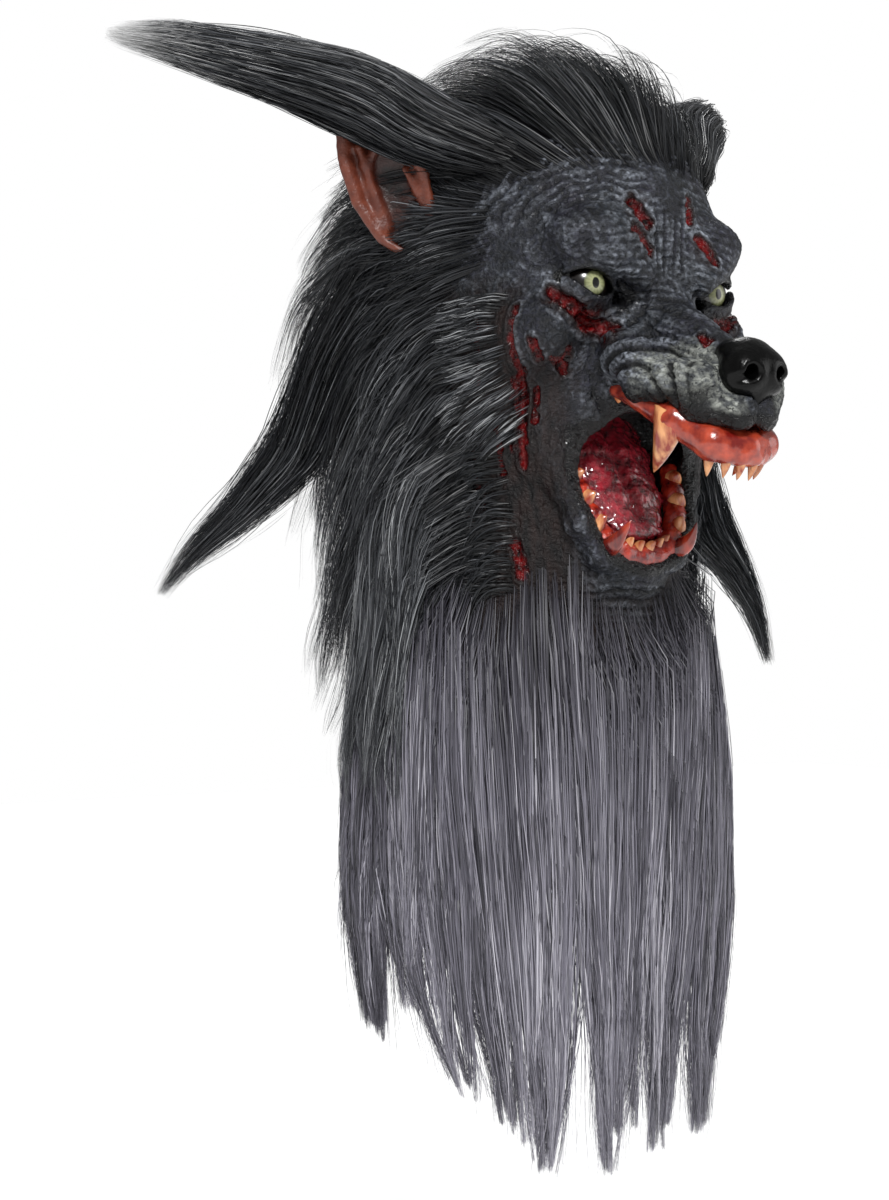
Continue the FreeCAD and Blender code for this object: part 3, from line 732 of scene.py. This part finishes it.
def fang(base, tip, bend, radius, flatten=0.8, rings=14, around=14):
    """Points and faces of a curved tapering tooth; bend moves its middle sideways."""
    base, tip, bend = np.array(base, float), np.array(tip, float), np.array(bend, float)
    axis = (tip - base) / np.linalg.norm(tip - base)
    side = np.cross(axis, (0.0, 1.0, 0.2))
    side /= np.linalg.norm(side)
    other = np.cross(axis, side)
    points = []
    for t in np.linspace(0, 1, rings):
        centre = base + (tip - base) * t + bend * 4 * t * (1 - t)
        r = radius * (1 - t**1.7) ** 0.8 * (1 - 0.12 * t) + 0.12
        for k in range(around):
            angle = 2 * math.pi * k / around
            ridge = 1 + 0.05 * math.cos(3 * angle + 1)
            points.append(centre + r * ridge * (side * math.cos(angle) * flatten + other * math.sin(angle)))
    faces = []
    for i in range(rings - 1):
        for k in range(around):
            a, b = i * around + k, i * around + (k + 1) % around
            faces.append((a, b, b + around, a + around))
    for i, order in ((0, -1), (rings - 1, 1)):
        ring = [i * around + k for k in range(around)][::order]
        for k in range(around // 2 - 1):
            faces.append((ring[k], ring[k + 1], ring[around - 2 - k], ring[around - 1 - k]))
    return np.array(points), np.array(faces)


def joined(parts):
    offset, points, faces = 0, [], []
    for p, f in parts:
        points.append(p)
        faces.append(f + offset)
        offset += len(p)
    return np.concatenate(points), np.concatenate(faces)


def flipped(part):
    points, faces = part
    return points * np.array([-1, 1, 1]), faces[:, ::-1]


def make_teeth(clean, bloodied):
    upper_front = [
        fang((4.5, -151, -218), (4.2, -147, -231), (0, -1, 0), 3.6),
        fang((11.5, -147.5, -217), (11, -143.5, -230), (0.5, -1, 0), 3.8),
        fang((17.5, -141.5, -214), (17, -137.5, -229), (1, -1, 0), 4.2),
    ]
    lower_front = [
        fang((4, -65, -267), (4, -72, -262), (0, 0, 1), 3.4),
        fang((10.5, -64, -266), (11, -71, -260), (0, 0, 1), 3.4),
        fang((16, -63, -264), (17, -69, -258), (0, 0, 1), 3.2),
    ]
    upper_canine = fang((28, -122, -192), (28.5, -108, -226), (2.5, -5, 0), 10.2, 0.85)
    lower_canine = fang((22, -61, -264), (24, -84, -251), (3, -1, -5), 6.8)
    cheek_row = ((-106, 9), (-97, 8), (-89, 7), (-82, 6))
    upper_cheek = [fang((31, y, -181), (30, y + 2, -181 - h), (0, 0, 0), 4.2, 0.7) for y, h in cheek_row]
    lower_cheek = [
        fang((30, -60, -253), (28, -68, -248), (0, 0, 0), 6.2),
        fang((34, -55, -239), (32, -63, -235), (0, 0, 0), 6.6),
        fang((37, -48, -226), (35, -57, -223), (0, 0, 0), 6.4),
    ]
    groups = [("upper_incisors", upper_front + [flipped(t) for t in upper_front])]
    groups.append(("lower_incisors", lower_front + [flipped(t) for t in lower_front]))
    paired = (
        ("upper_canine", [upper_canine]), ("lower_canine", [lower_canine]),
        ("upper_cheek_teeth", upper_cheek), ("lower_cheek_teeth", lower_cheek),
    )
    for name, row in paired:
        groups += [(name + "_left", row), (name + "_right", [flipped(t) for t in row])]
    for name, row in groups:
        piece = mesh_piece(name + "_cast", *joined(row))
        finish_piece(piece, bloodied if name.startswith("lower_canine") else clean, "tooth", name)


def eye_material():
    """Clear acrylic over a printed eye: yellow-green iris with dark streaks, black pupil, wet clear gloss."""
    material, tree = blank_material("painted eye under clear acrylic")
    gaze = node(tree, "Attribute", attribute_name="iris_paint")
    iris, pupil, streak = node(tree, "SeparateColor", gaze).outputs[:3]
    ring = node(tree, MIX, streak, "#a3a67c", "#565a3a")
    ball = node(tree, MIX, iris, "#0b0504", ring)
    colour = node(tree, MIX, pupil, ball, "#050505")
    return surfaced(material, {
        "Base Color": colour, "Roughness": 0.25, "Coat Weight": 0.6, "Coat Roughness": 0.02,
    })


IRIS_R = 6.9
EYE_RINGS, EYE_SIDES = 90, 72


def make_eyes():
    material = eye_material()
    for side, word in ((-1, "right"), (1, "left")):
        polar = np.linspace(0.002, math.pi * 0.62, EYE_RINGS)[:, None]
        spin = np.linspace(0, 2 * math.pi, EYE_SIDES, endpoint=False)[None, :]
        u = (np.sin(polar) * np.cos(spin)).ravel()
        v = (np.sin(polar) * np.sin(spin)).ravel()
        w = (np.cos(polar) * np.ones_like(spin)).ravel()
        turn = math.radians(8 if side < 0 else 2) * side
        x = u * math.cos(turn) + w * math.sin(turn)
        y = u * math.sin(turn) - w * math.cos(turn)
        centre = np.array([side * EYE[0], EYE[1], EYE[2]])
        points = centre + EYE_R * np.stack([x, y, v], axis=-1)
        index = np.arange(EYE_RINGS * EYE_SIDES).reshape(EYE_RINGS, EYE_SIDES)
        a, b = index[:-1], index[1:]
        faces = np.stack([a, np.roll(a, -1, 1), np.roll(b, -1, 1), b], axis=-1).reshape(-1, 4)
        piece = mesh_piece("eye_ball_" + word, points, faces)
        away = EYE_R * np.repeat(polar.ravel(), EYE_SIDES)
        iris = 1 - smoothstep(IRIS_R - 0.3, IRIS_R + 0.2, away)
        oval = EYE_R * np.sqrt((u * 1.4) ** 2 + v**2)
        pupil = 1 - smoothstep(2.9, 3.2, oval)
        angle = np.arctan2(v, u)
        streak = 0.5 + 0.25 * np.sin(angle * 23) * np.sin(angle * 9 + 1)
        streak += 0.6 * smoothstep(5.2, IRIS_R, away) - 0.35 * smoothstep(5.5, 2.5, away)
        paint(piece, "iris_paint", (iris, pupil, streak))
        finish_piece(piece, material, "eye_paint", "eye_insert_" + word, "eye_dome_" + word)


EAR_PLACE = (-106.0, 34.0, -50.0)
EAR_TURN, EAR_LEAN, EAR_RAKE = math.radians(38), math.radians(10), math.radians(20)


def into_ear(p):
    """Points in the right ear's own axes: -x out of the hollow, y across towards the back, z up the ear."""
    q = p - vec(*EAR_PLACE)
    c, s = math.cos(EAR_TURN), math.sin(EAR_TURN)
    q = np.stack([q[..., 0] * c + q[..., 1] * s, q[..., 1] * c - q[..., 0] * s, q[..., 2]], axis=-1)
    c, s = math.cos(EAR_LEAN), math.sin(EAR_LEAN)
    q = np.stack([q[..., 0] * c + q[..., 2] * s, q[..., 1], q[..., 2] * c - q[..., 0] * s], axis=-1)
    c, s = math.cos(EAR_RAKE), math.sin(EAR_RAKE)
    return np.stack([q[..., 0], q[..., 1] * c - q[..., 2] * s, q[..., 2] * c + q[..., 1] * s], axis=-1)


EAR_FOLDS = (
    (bar, ((-1, 12, -30), (-3, 9, 16), 3.2, 2.0), 4),
    (bar, ((-1, 8, 6), (-2, -10, 20), 2.6, 1.6), 4),
    (bar, ((-2, -16, -26), (-4, -11, -6), 4.2, 2.4), 4),
    (egg, ((-3, -2, -8), (4.5, 9, 12)), -3),
)


def ear_field(p):
    """Pointed leaf with a rolled rim, a deep hollow, a fold across it and a second fold down the front."""
    q = into_ear(p)
    taper = np.interp(q[..., 2], (-48, -38, -12, 14, 36, 48), (7, 15, 21, 19, 12, 3)).astype(np.float32)
    across = q[..., 1]
    wide = np.abs(across) - taper
    leaf = np.maximum(wide * 0.85, np.abs(q[..., 0] + 0.012 * across**2 - 3) - 2.6)
    rim = np.hypot(wide * 0.9, q[..., 0] + 3.5 + 0.004 * across**2) - 3.0
    d = blend_union(leaf, rim, 5)
    d = np.maximum(d, np.abs(q[..., 2]) - 47)
    return built(q, d, EAR_FOLDS) + 0.3 * noise(p, 4, 31)


def ear_skin():
    """Bare tinted latex: painted shade, near black, in the hollow's depths, orange-brown on the raised rim
    and folds, faint satin.
    """
    material, tree = blank_material("tinted cast latex of the ear")
    masks = node(tree, "Attribute", attribute_name="ear_paint")
    forward, tip, _ = node(tree, "SeparateColor", masks).outputs[:3]
    # painted shade: near black deep in the hollow, latex brown on the raised rim and folds
    colour = node(tree, MIX, forward, "#0e0403", "#6e3523")
    blotch = node(tree, SCALE, grain(tree, 7, 4), 0.6, 0.0)
    colour = node(tree, MIX, blotch, colour, "#3c140c")
    colour = node(tree, MIX, tip, colour, "#8f6555")
    pores = grain(tree, 1.4, 4, low=0.2, high=0.8)
    return surfaced(material, {
        "Base Color": colour, "Roughness": 0.4, "Normal": node(tree, "Bump", 1.0, 0.25 * MM, None, pores),
    })


def make_ears():
    material = ear_skin()
    piece, rest = sculpt("ear_cast_right", ear_field, (-140, -6, -106), (-70, 74, 6), 1.1)
    q = into_ear(rest)
    # 0 deep in the hollow, where the colour takes painted shade, and 1 on the raised rim
    forward = 1 - smoothstep(-5.5, 1.5, q[:, 0])
    tip = 0.7 * smoothstep(24, 44, q[:, 2]) * forward
    faces = np.array([f.vertices for f in piece.data.polygons])
    twin = mesh_piece("ear_cast_left", *flipped((rest, faces)))
    for ear, word in ((piece, "right"), (twin, "left")):
        paint(ear, "ear_paint", (forward, tip, 0 * tip))
        finish_piece(ear, material, "ear_skin", "ear_" + word)


def make_mouth():
    # after the two colours: mottling in mm, roughness, height and spacing of the lumps in mm, coat
    gum = wet_cast("glossy cast latex gum", "#6a120c", "#b5452b", 9, 0.25, 0.2, 2.5, 0.6)
    sore_gum = wet_cast("glossy bloodied latex gum", "#560506", "#b3331e", 6, 0.22, 0.4, 1.8, 0.7)
    tongue = wet_cast("glossy bloodied latex tongue", "#4c0712", "#a01a2c", 5, 0.2, 0.7, 1.2, 1.0)
    tooth = wet_cast("stained resin tooth", "#8a2410", "#e0a06a", 5, 0.25, 0.15, 2.5, 0.6, (1, 1, 0.3))
    red_tooth = wet_cast("bloodied resin tooth", "#4e0405", "#b03a20", 8, 0.22, 0.15, 2.5, 0.7, (1, 1, 0.3))
    nose = wet_cast("glossy black latex", "#010101", "#040404", 6, 0.28, 0.1, 1.3, 0.08)
    surfaced(nose, {"Specular IOR Level": 0.15})
    low, high = (-48, -166, -224), (48, -58, -178)
    sculpted_part("upper_gum", upper_gum_field, low, high, 1.3, gum, "gum", "upper_gum")
    low, high = (-50, -78, -282), (50, -30, -210)
    sculpted_part("lower_gum", lower_gum_field, low, high, 1.2, sore_gum, "gum", "lower_gum")
    low, high = (-38, -78, -272), (38, 0, -178)
    sculpted_part("tongue", tongue_field, low, high, 1.1, tongue, "tongue_skin", "tongue")
    low, high = (-26, -176, -204), (26, -130, -150)
    sculpted_part("nose", nose_field, low, high, 1.1, nose, "nose_gloss", "nose_pad")
    make_teeth(tooth, red_tooth)


def shell_field(p):
    """The hollow skin under the fur, 3.2 mm thick and just inside the painted face, open at the hem."""
    return np.maximum(np.abs(face_field(p) + 5.4) - 1.6, HEM_Z - p[..., 2])


def make_shell():
    piece, _ = sculpt("latex_shell", shell_field, (-118, -176, -470), (118, 124, 10), 3.4)
    material, tree = blank_material("dark dipped latex")
    colour = node(tree, MIX, grain(tree, 12, 4), "#0b0b0d", "#1d1e22")
    surfaced(material, {"Base Color": colour, "Roughness": 0.7})
    finish_piece(piece, material, "latex_skin", "latex_cranium", "latex_neck_bib")


# ---- faux fur ----------------------------------------------------------------------------------
STATIONS = 13


def unit(v):
    return v / (np.linalg.norm(v, axis=-1, keepdims=True) + 1e-9)


def columns(*values):
    """Vectors from three arrays or numbers, one for each axis."""
    return np.stack(np.broadcast_arrays(*[np.asarray(v, np.float32) for v in values]), axis=-1)


def scatter(rng, form, low, high, keep, count):
    """Points spread evenly over the part of a form's surface that keep accepts."""
    found = []
    while sum(len(f) for f in found) < count:
        p = rng.uniform(low, high, (60000, 3)).astype(np.float32)
        p = p[np.abs(form(p)) < 5]
        for _ in range(2):
            p = p - slope(form, p) * form(p)[:, None]
        found.append(p[keep(*p.T)])
    return np.concatenate(found)[:count]


def nearest(points, heads):
    """Which head each point is closest to."""
    parts = np.array_split(points, 1 + len(points) // 1500)
    return np.concatenate([np.argmin(((part[:, None] - heads[None]) ** 2).sum(-1), axis=1) for part in parts])


def combed(roots, form, comb, reach, loft, rise):
    """Strands that start at the roots, follow the comb and settle at their own height over the form."""
    p = roots.copy()
    lines = [p]
    step = (reach / (STATIONS - 1))[:, None]
    last = None
    for k in range(1, STATIONS):
        n = slope(form, p, 1.5)
        d = comb(p, step[:, 0] * k)
        d = unit(d - n * np.minimum(np.sum(d * n, axis=-1, keepdims=True), 0.0))
        last = d if last is None else unit(0.5 * last + 0.5 * d)
        p = p + last * step
        height = loft * smoothstep(0.0, rise, step[:, 0] * k)
        lift = height - form(p)
        p = p + n * np.where(lift > 0, lift, np.maximum(lift, -2.0) * 0.5)[:, None]
        lines.append(p)
    return np.stack(lines, axis=1)


LOOSE = 0.06    # share of strands that keep out of their lock


def gathered(rng, lines, lead, chief, strength, wave):
    """Strands drawn to their lock's leader, and locks to their chief; wave is its height and length."""
    count = len(lines)
    t = np.linspace(0, 1, STATIONS)[None, :, None]
    keen = np.where(rng.random(count) < LOOSE, 0.25, 1.0)[:, None, None]
    pull = keen * strength * t**0.9
    lines = lines * (1 - pull) + lines[lead] * pull
    if chief is not None:
        pull = keen * 0.72 * t**2.2
        lines = lines * (1 - pull) + lines[chief] * pull
    length = np.linalg.norm(np.diff(lines, axis=1), axis=-1).sum(1)[:, None, None]
    sway = unit(rng.normal(size=(count, 3)))
    stray = unit(rng.normal(size=(count, 3)))
    phase = rng.uniform(0, 6.28, count)
    turn = 2 * math.pi * t * length / wave[1]
    lines = lines + wave[0] * t * np.sin(turn + phase[lead][:, None, None]) * sway[lead][:, None, :]
    return lines + 0.35 * wave[0] * t * np.sin(1.7 * turn + phase[:, None, None]) * stray[:, None, :]


def along_spine(rng, spine, widths, count, start=0.35, end=0.55, fray=1.0):
    """Strands of one hanging or swept lock, run at random places round its spine and ending unevenly."""
    spine, widths = np.array(spine, float), np.array(widths, float)
    knots = np.concatenate([[0], np.cumsum(np.linalg.norm(np.diff(spine, axis=0), axis=1))])
    fine = np.linspace(0, knots[-1], 60)
    line = np.stack([np.interp(fine, knots, spine[:, i]) for i in range(3)], axis=1)
    for _ in range(14):
        line[1:-1] = (line[:-2] + line[2:] + 2 * line[1:-1]) / 4
    ahead = unit(np.gradient(line, axis=0))
    side = unit(np.cross(ahead, (0.0, 0.3, 1.0)))
    over = np.cross(side, ahead)
    first = rng.random(count) ** 1.4 * start
    last = 1 - rng.random(count) ** 1.6 * end
    t = first[:, None] + (last - first)[:, None] * np.linspace(0, 1, STATIONS)[None]
    angle = rng.uniform(0, 6.28, count)
    far = np.sqrt(rng.random(count))
    spread = np.interp(t * knots[-1], knots, widths)
    spread = spread * (1 + fray * 0.25 * rng.normal(size=count)[:, None] * t**2)

    def read(table):
        return np.stack([np.interp(t * knots[-1], fine, table[:, i]) for i in range(3)], axis=-1)

    stray = unit(rng.normal(size=(count, 1, 3)))
    crimp = np.sin(t * knots[-1] / 16 + rng.uniform(0, 6.28, count)[:, None])[..., None]
    sideways = (spread * (far * np.cos(angle))[:, None])[..., None] * read(side)
    outward = (spread * (far * np.sin(angle))[:, None])[..., None] * read(over)
    return read(line) + 1.1 * fray * crimp * stray + sideways + outward


def ribbons(rng, name, lines, tone, width, pale=False, facing=None):
    """Flat tapering fibres along the lines; the map holds each one's tone across and its length along."""
    count, stations = lines.shape[:2]
    t = np.linspace(0, 1, stations)
    ahead = unit(np.gradient(lines, axis=1))
    out = slope(head_form, lines[:, stations // 2], 2.0) if facing is None else facing
    out = unit(out + 0.55 * rng.normal(size=(count, 3)))
    side = unit(np.cross(ahead, out[:, None, :]))
    half = 0.5 * width * (0.15 + 0.85 * np.minimum(1.0, (1 - t) / 0.55)) * np.minimum(1.0, 0.5 + t / 0.1)
    half = half[None, :, None] * rng.uniform(0.7, 1.3, count)[:, None, None]
    points = np.stack([lines - side * half, lines + side * half], axis=2).reshape(-1, 3)
    base = (np.arange(count) * stations * 2)[:, None, None]
    rung = (np.arange(stations - 1) * 2)[None, :, None]
    faces = (base + rung + np.array([0, 1, 3, 2])).reshape(-1, 4)
    piece = mesh_piece(name, points, faces)
    layer = piece.data.uv_layers.new(name="OFBake")
    u = np.clip(tone, 0.02, 0.98)[:, None, None] + np.array([-0.01, 0.01, 0.01, -0.01])
    v_rung = 0.02 + (0.94 if pale else 0.72) * t
    v = np.stack([v_rung[:-1], v_rung[:-1], v_rung[1:], v_rung[1:]], axis=-1)[None]
    u = np.broadcast_to(u, (count, stations - 1, 4))
    uv = np.stack([u, np.broadcast_to(v, u.shape)], axis=-1)
    layer.data.foreach_set("uv", uv.astype(np.float32).ravel())
    return piece


def fibre(name, tones, root, tip, roughness):
    """Modacrylic fibre: tones across the map, painted shade darkening the root and, past three quarters, a
    faded tip.
    """
    material, tree = blank_material(name)
    place = node(tree, "SeparateXYZ", node(tree, "UVMap", uv_map="OFBake"))
    ramp = node(tree, "ValToRGB", place)
    bands = ramp.color_ramp.elements
    while len(bands) < len(tones):
        bands.new(0.5)
    for element, (position, colour) in zip(bands, tones):
        element.position = position
        element.color = srgb(colour)
    along = place.outputs[1]
    # painted shade of the pile: each strand is darkened to the root colour near its root
    colour = node(tree, MIX, node(tree, "MapRange", along, 0.02, 0.2), root, ramp)
    colour = node(tree, MIX, node(tree, "MapRange", along, 0.74, 0.93), colour, tip)
    return surfaced(material, {"Base Color": colour, "Roughness": roughness, "Specular IOR Level": 0.35})


DENSITY = 1.0


def read_at(value, points):
    """A number as it is, or a rule of x, y and z read at the points."""
    return value(*points.T) if callable(value) else value


def grow(rng, form, low, high, keep, count, lock, comb, reach, loft, strength=0.85,
         wave=(2.0, 70.0), uneven=0.3, shades=(0.45, 0.22), locks=0, rise=50.0):
    """Root, comb and gather one zone of fur; gives the centre lines and each strand's tone."""
    roots = scatter(rng, form, low, high, keep, int(count * DENSITY))
    heads = rng.choice(len(roots), max(8, len(roots) // lock), replace=False)
    lead = heads[nearest(roots, roots[heads])]
    chief = None
    share = 1 - uneven * rng.random(len(roots))
    if locks:
        chiefs = rng.choice(len(roots), locks, replace=False)
        chief = chiefs[nearest(roots * vec(1, 1, 0.2), roots[chiefs] * vec(1, 1, 0.2))]
        share = 0.35 * share + 0.65 * share[chief]
    own = read_at(reach, roots) * (1 - uneven * rng.random(len(roots)) * 0.6)
    lofts = read_at(loft, roots) * rng.random(len(roots)) ** 0.6 + 0.8
    lines = combed(roots, form, comb, own * share[lead], lofts, rise)
    lines = gathered(rng, lines, lead, chief, strength, wave)
    tone = shades[0] + 0.75 * shades[1] * rng.normal(size=len(roots))
    return lines, tone + 0.5 * shades[1] * rng.normal(size=len(roots))[lead]


def merged(*grown):
    return np.concatenate([g[0] for g in grown]), np.concatenate([g[1] for g in grown])


def crown_comb(p, run):
    """Back from the brow, fanning slightly outward, then down behind."""
    x, y = p[:, 0], p[:, 1]
    back = 1.0 - smoothstep(70, 120, y) * 0.8
    lift = 0.5 * (1 - smoothstep(-40, 10, y)) - 0.15 - 0.9 * smoothstep(30, 110, y)
    return columns(0.22 * x / 60, back, lift)


def back_comb(p, run):
    return columns(0.1 * p[:, 0] / 90, 0.12, -1.0)


def side_comb(p, run):
    """Up and back above the ear, straight back in front of it, and round into a fall below."""
    x, y, z = p.T
    low = smoothstep(-95, -165, z)
    fall = 0.15 + 0.5 * low + 0.85 * smoothstep(25, 110, run) * smoothstep(-45, -75, z)
    back = 1.0 - 0.3 * low - 0.25 * smoothstep(30, 110, run)
    lift = 0.75 * smoothstep(-88, -60, z) * (1 - smoothstep(20, 60, y))
    return columns(0.12 * np.sign(x), back, lift - fall)


def neck_comb(p, run):
    """Locks that come off the side of the neck and swing forward on to the beard."""
    back = 0.8 * (1 - smoothstep(0, 45, run)) - 0.15 * smoothstep(50, 120, run)
    return columns(0.1 * np.sign(p[:, 0]), back, 0.1 - 1.1 * smoothstep(0, 32, run))


def cheek_comb(p, run):
    return columns(0.1 * np.sign(p[:, 0]), 1.0, -0.15 - 0.5 * smoothstep(-150, -205, p[:, 2]))


def beard_comb(p, run):
    return columns(-0.07 * p[:, 0] / 60, -0.08 * smoothstep(-40, 40, p[:, 1]), -1.0)


def hang(x, y, z):
    """Length from a root down to the ends, which hang lowest in front."""
    ends = np.interp(y, (-30.0, 0.0, 30.0, 60.0, 100.0), (-640.0, -614.0, -566.0, -520.0, -482.0))
    return np.maximum(z - ends, 60.0)


TEMPLE_TO_TUFT = (
    (62, -30, -52), (82, -6, -40), (97, 16, -28), (110, 30, -17), (128, 42, -8), (152, 60, 2), (176, 86, 13),
)
LEFT_TUFT_END = ((194, 118, 24), (206, 156, 34))
RIGHT_TUFT_END = ((-200, 122, 26), (-213, 165, 37))
TUFT_WIDTHS = (14, 20, 23, 24, 23, 19, 15, 10, 4)
RIGHT_FLICK = (
    (-88, 50, -96), (-98, 88, -140), (-104, 122, -200),
    (-122, 158, -238), (-146, 186, -268), (-159, 197, -291),
)
LEFT_FLICK = (
    (96, 40, -150), (104, 26, -200), (118, 22, -244), (142, 20, -268), (168, 24, -298), (186, 30, -334),
)
FLICK_WIDTHS = (26, 24, 20, 12, 6, 2.5)


def mirror_points(table):
    return tuple((-x, y, z) for x, y, z in table)


def spine_tones(rng, count, middle, spread):
    return middle + spread * rng.normal(size=count)


def black_fibre():
    """Black and grey long pile, satin, with pale brushed-out tips."""
    tones = ((0.0, "#08090a"), (0.4, "#1c1e21"), (0.7, "#3c3e42"), (0.88, "#6c6e72"), (1.0, "#a2a4a6"))
    # the colour after the tones is the painted shade at the root
    return fibre("black and grey faux fur", tones, "#08080a", "#f2f2f2", 0.42)


def grey_fibre():
    """Silver grey long pile with a violet cast, darkened at the root as painted shade of the pile."""
    tones = ((0.0, "#19191c"), (0.3, "#403f46"), (0.55, "#6d6b76"), (0.8, "#95939d"), (1.0, "#bdbbc3"))
    return fibre("silver grey faux fur", tones, "#2e2d34", "#e6e6ea", 0.45)


def side_box(side, near, far, front, back, bottom, top):
    """Corners of a search box on one side of the head, from near to far out."""
    across = sorted((side * near, side * far))
    return (across[0], front, bottom), (across[1], back, top)


def grow_crown(rng):
    def on_top(x, y, z):
        in_front = (z > -58 - 8 * smoothstep(40, 70, np.abs(x))) & (y < 0)
        return in_front | ((z > -51) & (y >= 0))

    def reach(x, y, z):
        return 150 - 40 * smoothstep(-30, 40, y)

    def loft(x, y, z):
        return 38 - 22 * smoothstep(-30, 40, y)

    return grow(
        rng, face_field, (-100, -95, -72), (100, 125, 14), on_top, 8200, 30, crown_comb, reach, loft,
        strength=0.72, shades=(0.27, 0.24), wave=(0.8, 120.0), rise=95.0,
    )


def grow_back(rng):
    def behind(x, y, z):
        return (y > 76) & (z < -50) & (z > -262)

    return grow(
        rng, head_form, (-95, 70, -268), (95, 130, -48), behind, 8000, 40, back_comb, 270, 30,
        strength=0.7, uneven=0.5, shades=(0.46, 0.26), wave=(3, 90.0), locks=11,
    )


def grow_side(rng, side):
    """Mane behind the ear, long locks off the neck and short fur down it."""
    def on_side(x, y, z):
        front = -34 + 24 * smoothstep(-105, -125, z)
        return (x * side > 0) & (y > front) & (y < 78) & (z < -50) & (z > -262)

    def off_the_neck(x, y, z):
        return (x * side > 0) & (y > -14) & (y < 40) & (z < -205) & (z > -275)

    def down_the_neck(x, y, z):
        return (x * side > 0) & (y > -30) & (y < 12) & (z < -204) & (z > -292)

    def reach(x, y, z):
        return 150 - 40 * smoothstep(-110, -60, z)

    def loft(x, y, z):
        return 4 + 28 * smoothstep(-25, 50, y)

    low, high = side_box(side, 55, 112, -42, 90, -296, -40)
    mane = grow(
        rng, face_field, low, high, on_side, 5400, 34, side_comb, reach, loft,
        strength=0.7, shades=(0.5, 0.25), wave=(3, 80.0), rise=25.0,
    )
    long = grow(
        rng, head_form, low, high, off_the_neck, 1300, 36, neck_comb, 210, 30,
        shades=(0.7, 0.24), wave=(5, 110.0), locks=8, rise=30.0,
    )
    short = grow(
        rng, face_field, low, high, down_the_neck, 900, 14, neck_comb, 46, 5,
        strength=0.6, shades=(0.35, 0.25), wave=(1.5, 40.0), rise=8.0,
    )
    return merged(mane, long, short)


def grow_cheek(rng, side):
    def on_cheek(x, y, z):
        ragged_front = -44 + 5 * noise(columns(x, y, z), 14, 33)
        return (x * side > 0) & (y > ragged_front) & (y < -4) & (z < -126) & (z > -204)

    low, high = side_box(side, 50, 104, -62, -2, -212, -96)
    return grow(
        rng, face_field, low, high, on_cheek, 800, 9, cheek_comb, 30, 6,
        strength=0.35, wave=(1.4, 34.0), shades=(0.55, 0.36), rise=8.0,
    )


def grow_cape(rng, side):
    def on_bib_side(x, y, z):
        return (x * side > 0) & (y > 22) & (y < 76) & (z < -262) & (z > -440)

    low, high = side_box(side, 50, 125, 15, 85, -445, -258)
    return grow(
        rng, head_form, low, high, on_bib_side, 6000, 46, beard_comb, hang, 20,
        strength=0.7, wave=(3.5, 120.0), uneven=0.35, shades=(0.42, 0.22), locks=4,
    )


def grow_beard(rng):
    def under_chin(x, y, z):
        p = columns(x, y, z)
        off_the_jaw = (head_form(p) < 4) & (mouth_depth(mirrored_x(p)) > 16)
        return (y < 24) & (z < -274 + 22 * noise(p, 18, 35)) & (z > -455) & off_the_jaw

    return grow(
        rng, face_field, (-125, -70, -458), (125, 30, -252), under_chin, 8300, 46, beard_comb, hang, 20,
        strength=0.7, wave=(3.5, 130.0), uneven=0.22, shades=(0.5, 0.24), locks=15, rise=18.0,
    )


def grow_nape(rng):
    def on_nape(x, y, z):
        return (y > 74.6) & (z < -262) & (z > -420)

    return grow(
        rng, head_form, (-100, 68, -445), (100, 125, -258), on_nape, 5000, 46, beard_comb, hang, 18,
        strength=0.9, uneven=0.4, shades=(0.38, 0.22), locks=8,
    )


def make_tuft(rng, side, word, dark):
    """Long lock off the temple, swept up and back over the ear."""
    spine = TEMPLE_TO_TUFT + LEFT_TUFT_END if side > 0 else mirror_points(TEMPLE_TO_TUFT) + RIGHT_TUFT_END
    count = int(5200 * DENSITY)
    lines = along_spine(rng, spine, TUFT_WIDTHS, count, start=0.55, end=0.45)
    outward = np.broadcast_to(unit(np.array([side * 0.7, -0.6, 0.5])), (count, 3))
    tone = spine_tones(rng, count, 0.5, 0.24)
    piece = ribbons(rng, "tuft_fur_" + word, lines, tone, 0.46, pale=True, facing=outward)
    finish_piece(piece, dark, "fur_dark", "ear_tuft_" + word)


def make_fur():
    dark, grey = black_fibre(), grey_fibre()
    rng = np.random.default_rng(SEED)
    finish_piece(ribbons(rng, "crown_fur", *grow_crown(rng), 0.46), dark, "fur_dark", "fur_crown")
    finish_piece(ribbons(rng, "back_fur", *grow_back(rng), 0.5), dark, "fur_dark", "fur_back_mane")
    for side, word in ((-1, "right"), (1, "left")):
        piece = ribbons(rng, "side_fur_" + word, *grow_side(rng, side), 0.46)
        finish_piece(piece, dark, "fur_dark", "fur_side_mane_" + word)
        piece = ribbons(rng, "cheek_fur_" + word, *grow_cheek(rng, side), 0.44)
        finish_piece(piece, dark, "fur_dark", "fur_cheek_" + word)
        piece = ribbons(rng, "cape_fur_" + word, *grow_cape(rng, side), 0.5)
        finish_piece(piece, grey, "fur_grey", "fur_cape_" + word)
        make_tuft(rng, side, word, dark)
    finish_piece(ribbons(rng, "beard_fur", *grow_beard(rng), 0.52), grey, "fur_grey", "fur_beard")
    finish_piece(ribbons(rng, "nape_fur", *grow_nape(rng), 0.52), grey, "fur_grey", "fur_nape")
    for spine, word in ((RIGHT_FLICK, "right"), (LEFT_FLICK, "left")):
        count = int(2400 * DENSITY)
        lines = along_spine(rng, spine, FLICK_WIDTHS, count, start=0.7, end=0.6, fray=2.0)
        piece = ribbons(rng, "flick_fur_" + word, lines, spine_tones(rng, count, 0.46, 0.24), 0.44)
        finish_piece(piece, dark, "fur_dark", "flick_lock_" + word)


set_camera()
set_stage()
make_face()
make_shell()
make_mouth()
make_eyes()
make_ears()
make_fur()
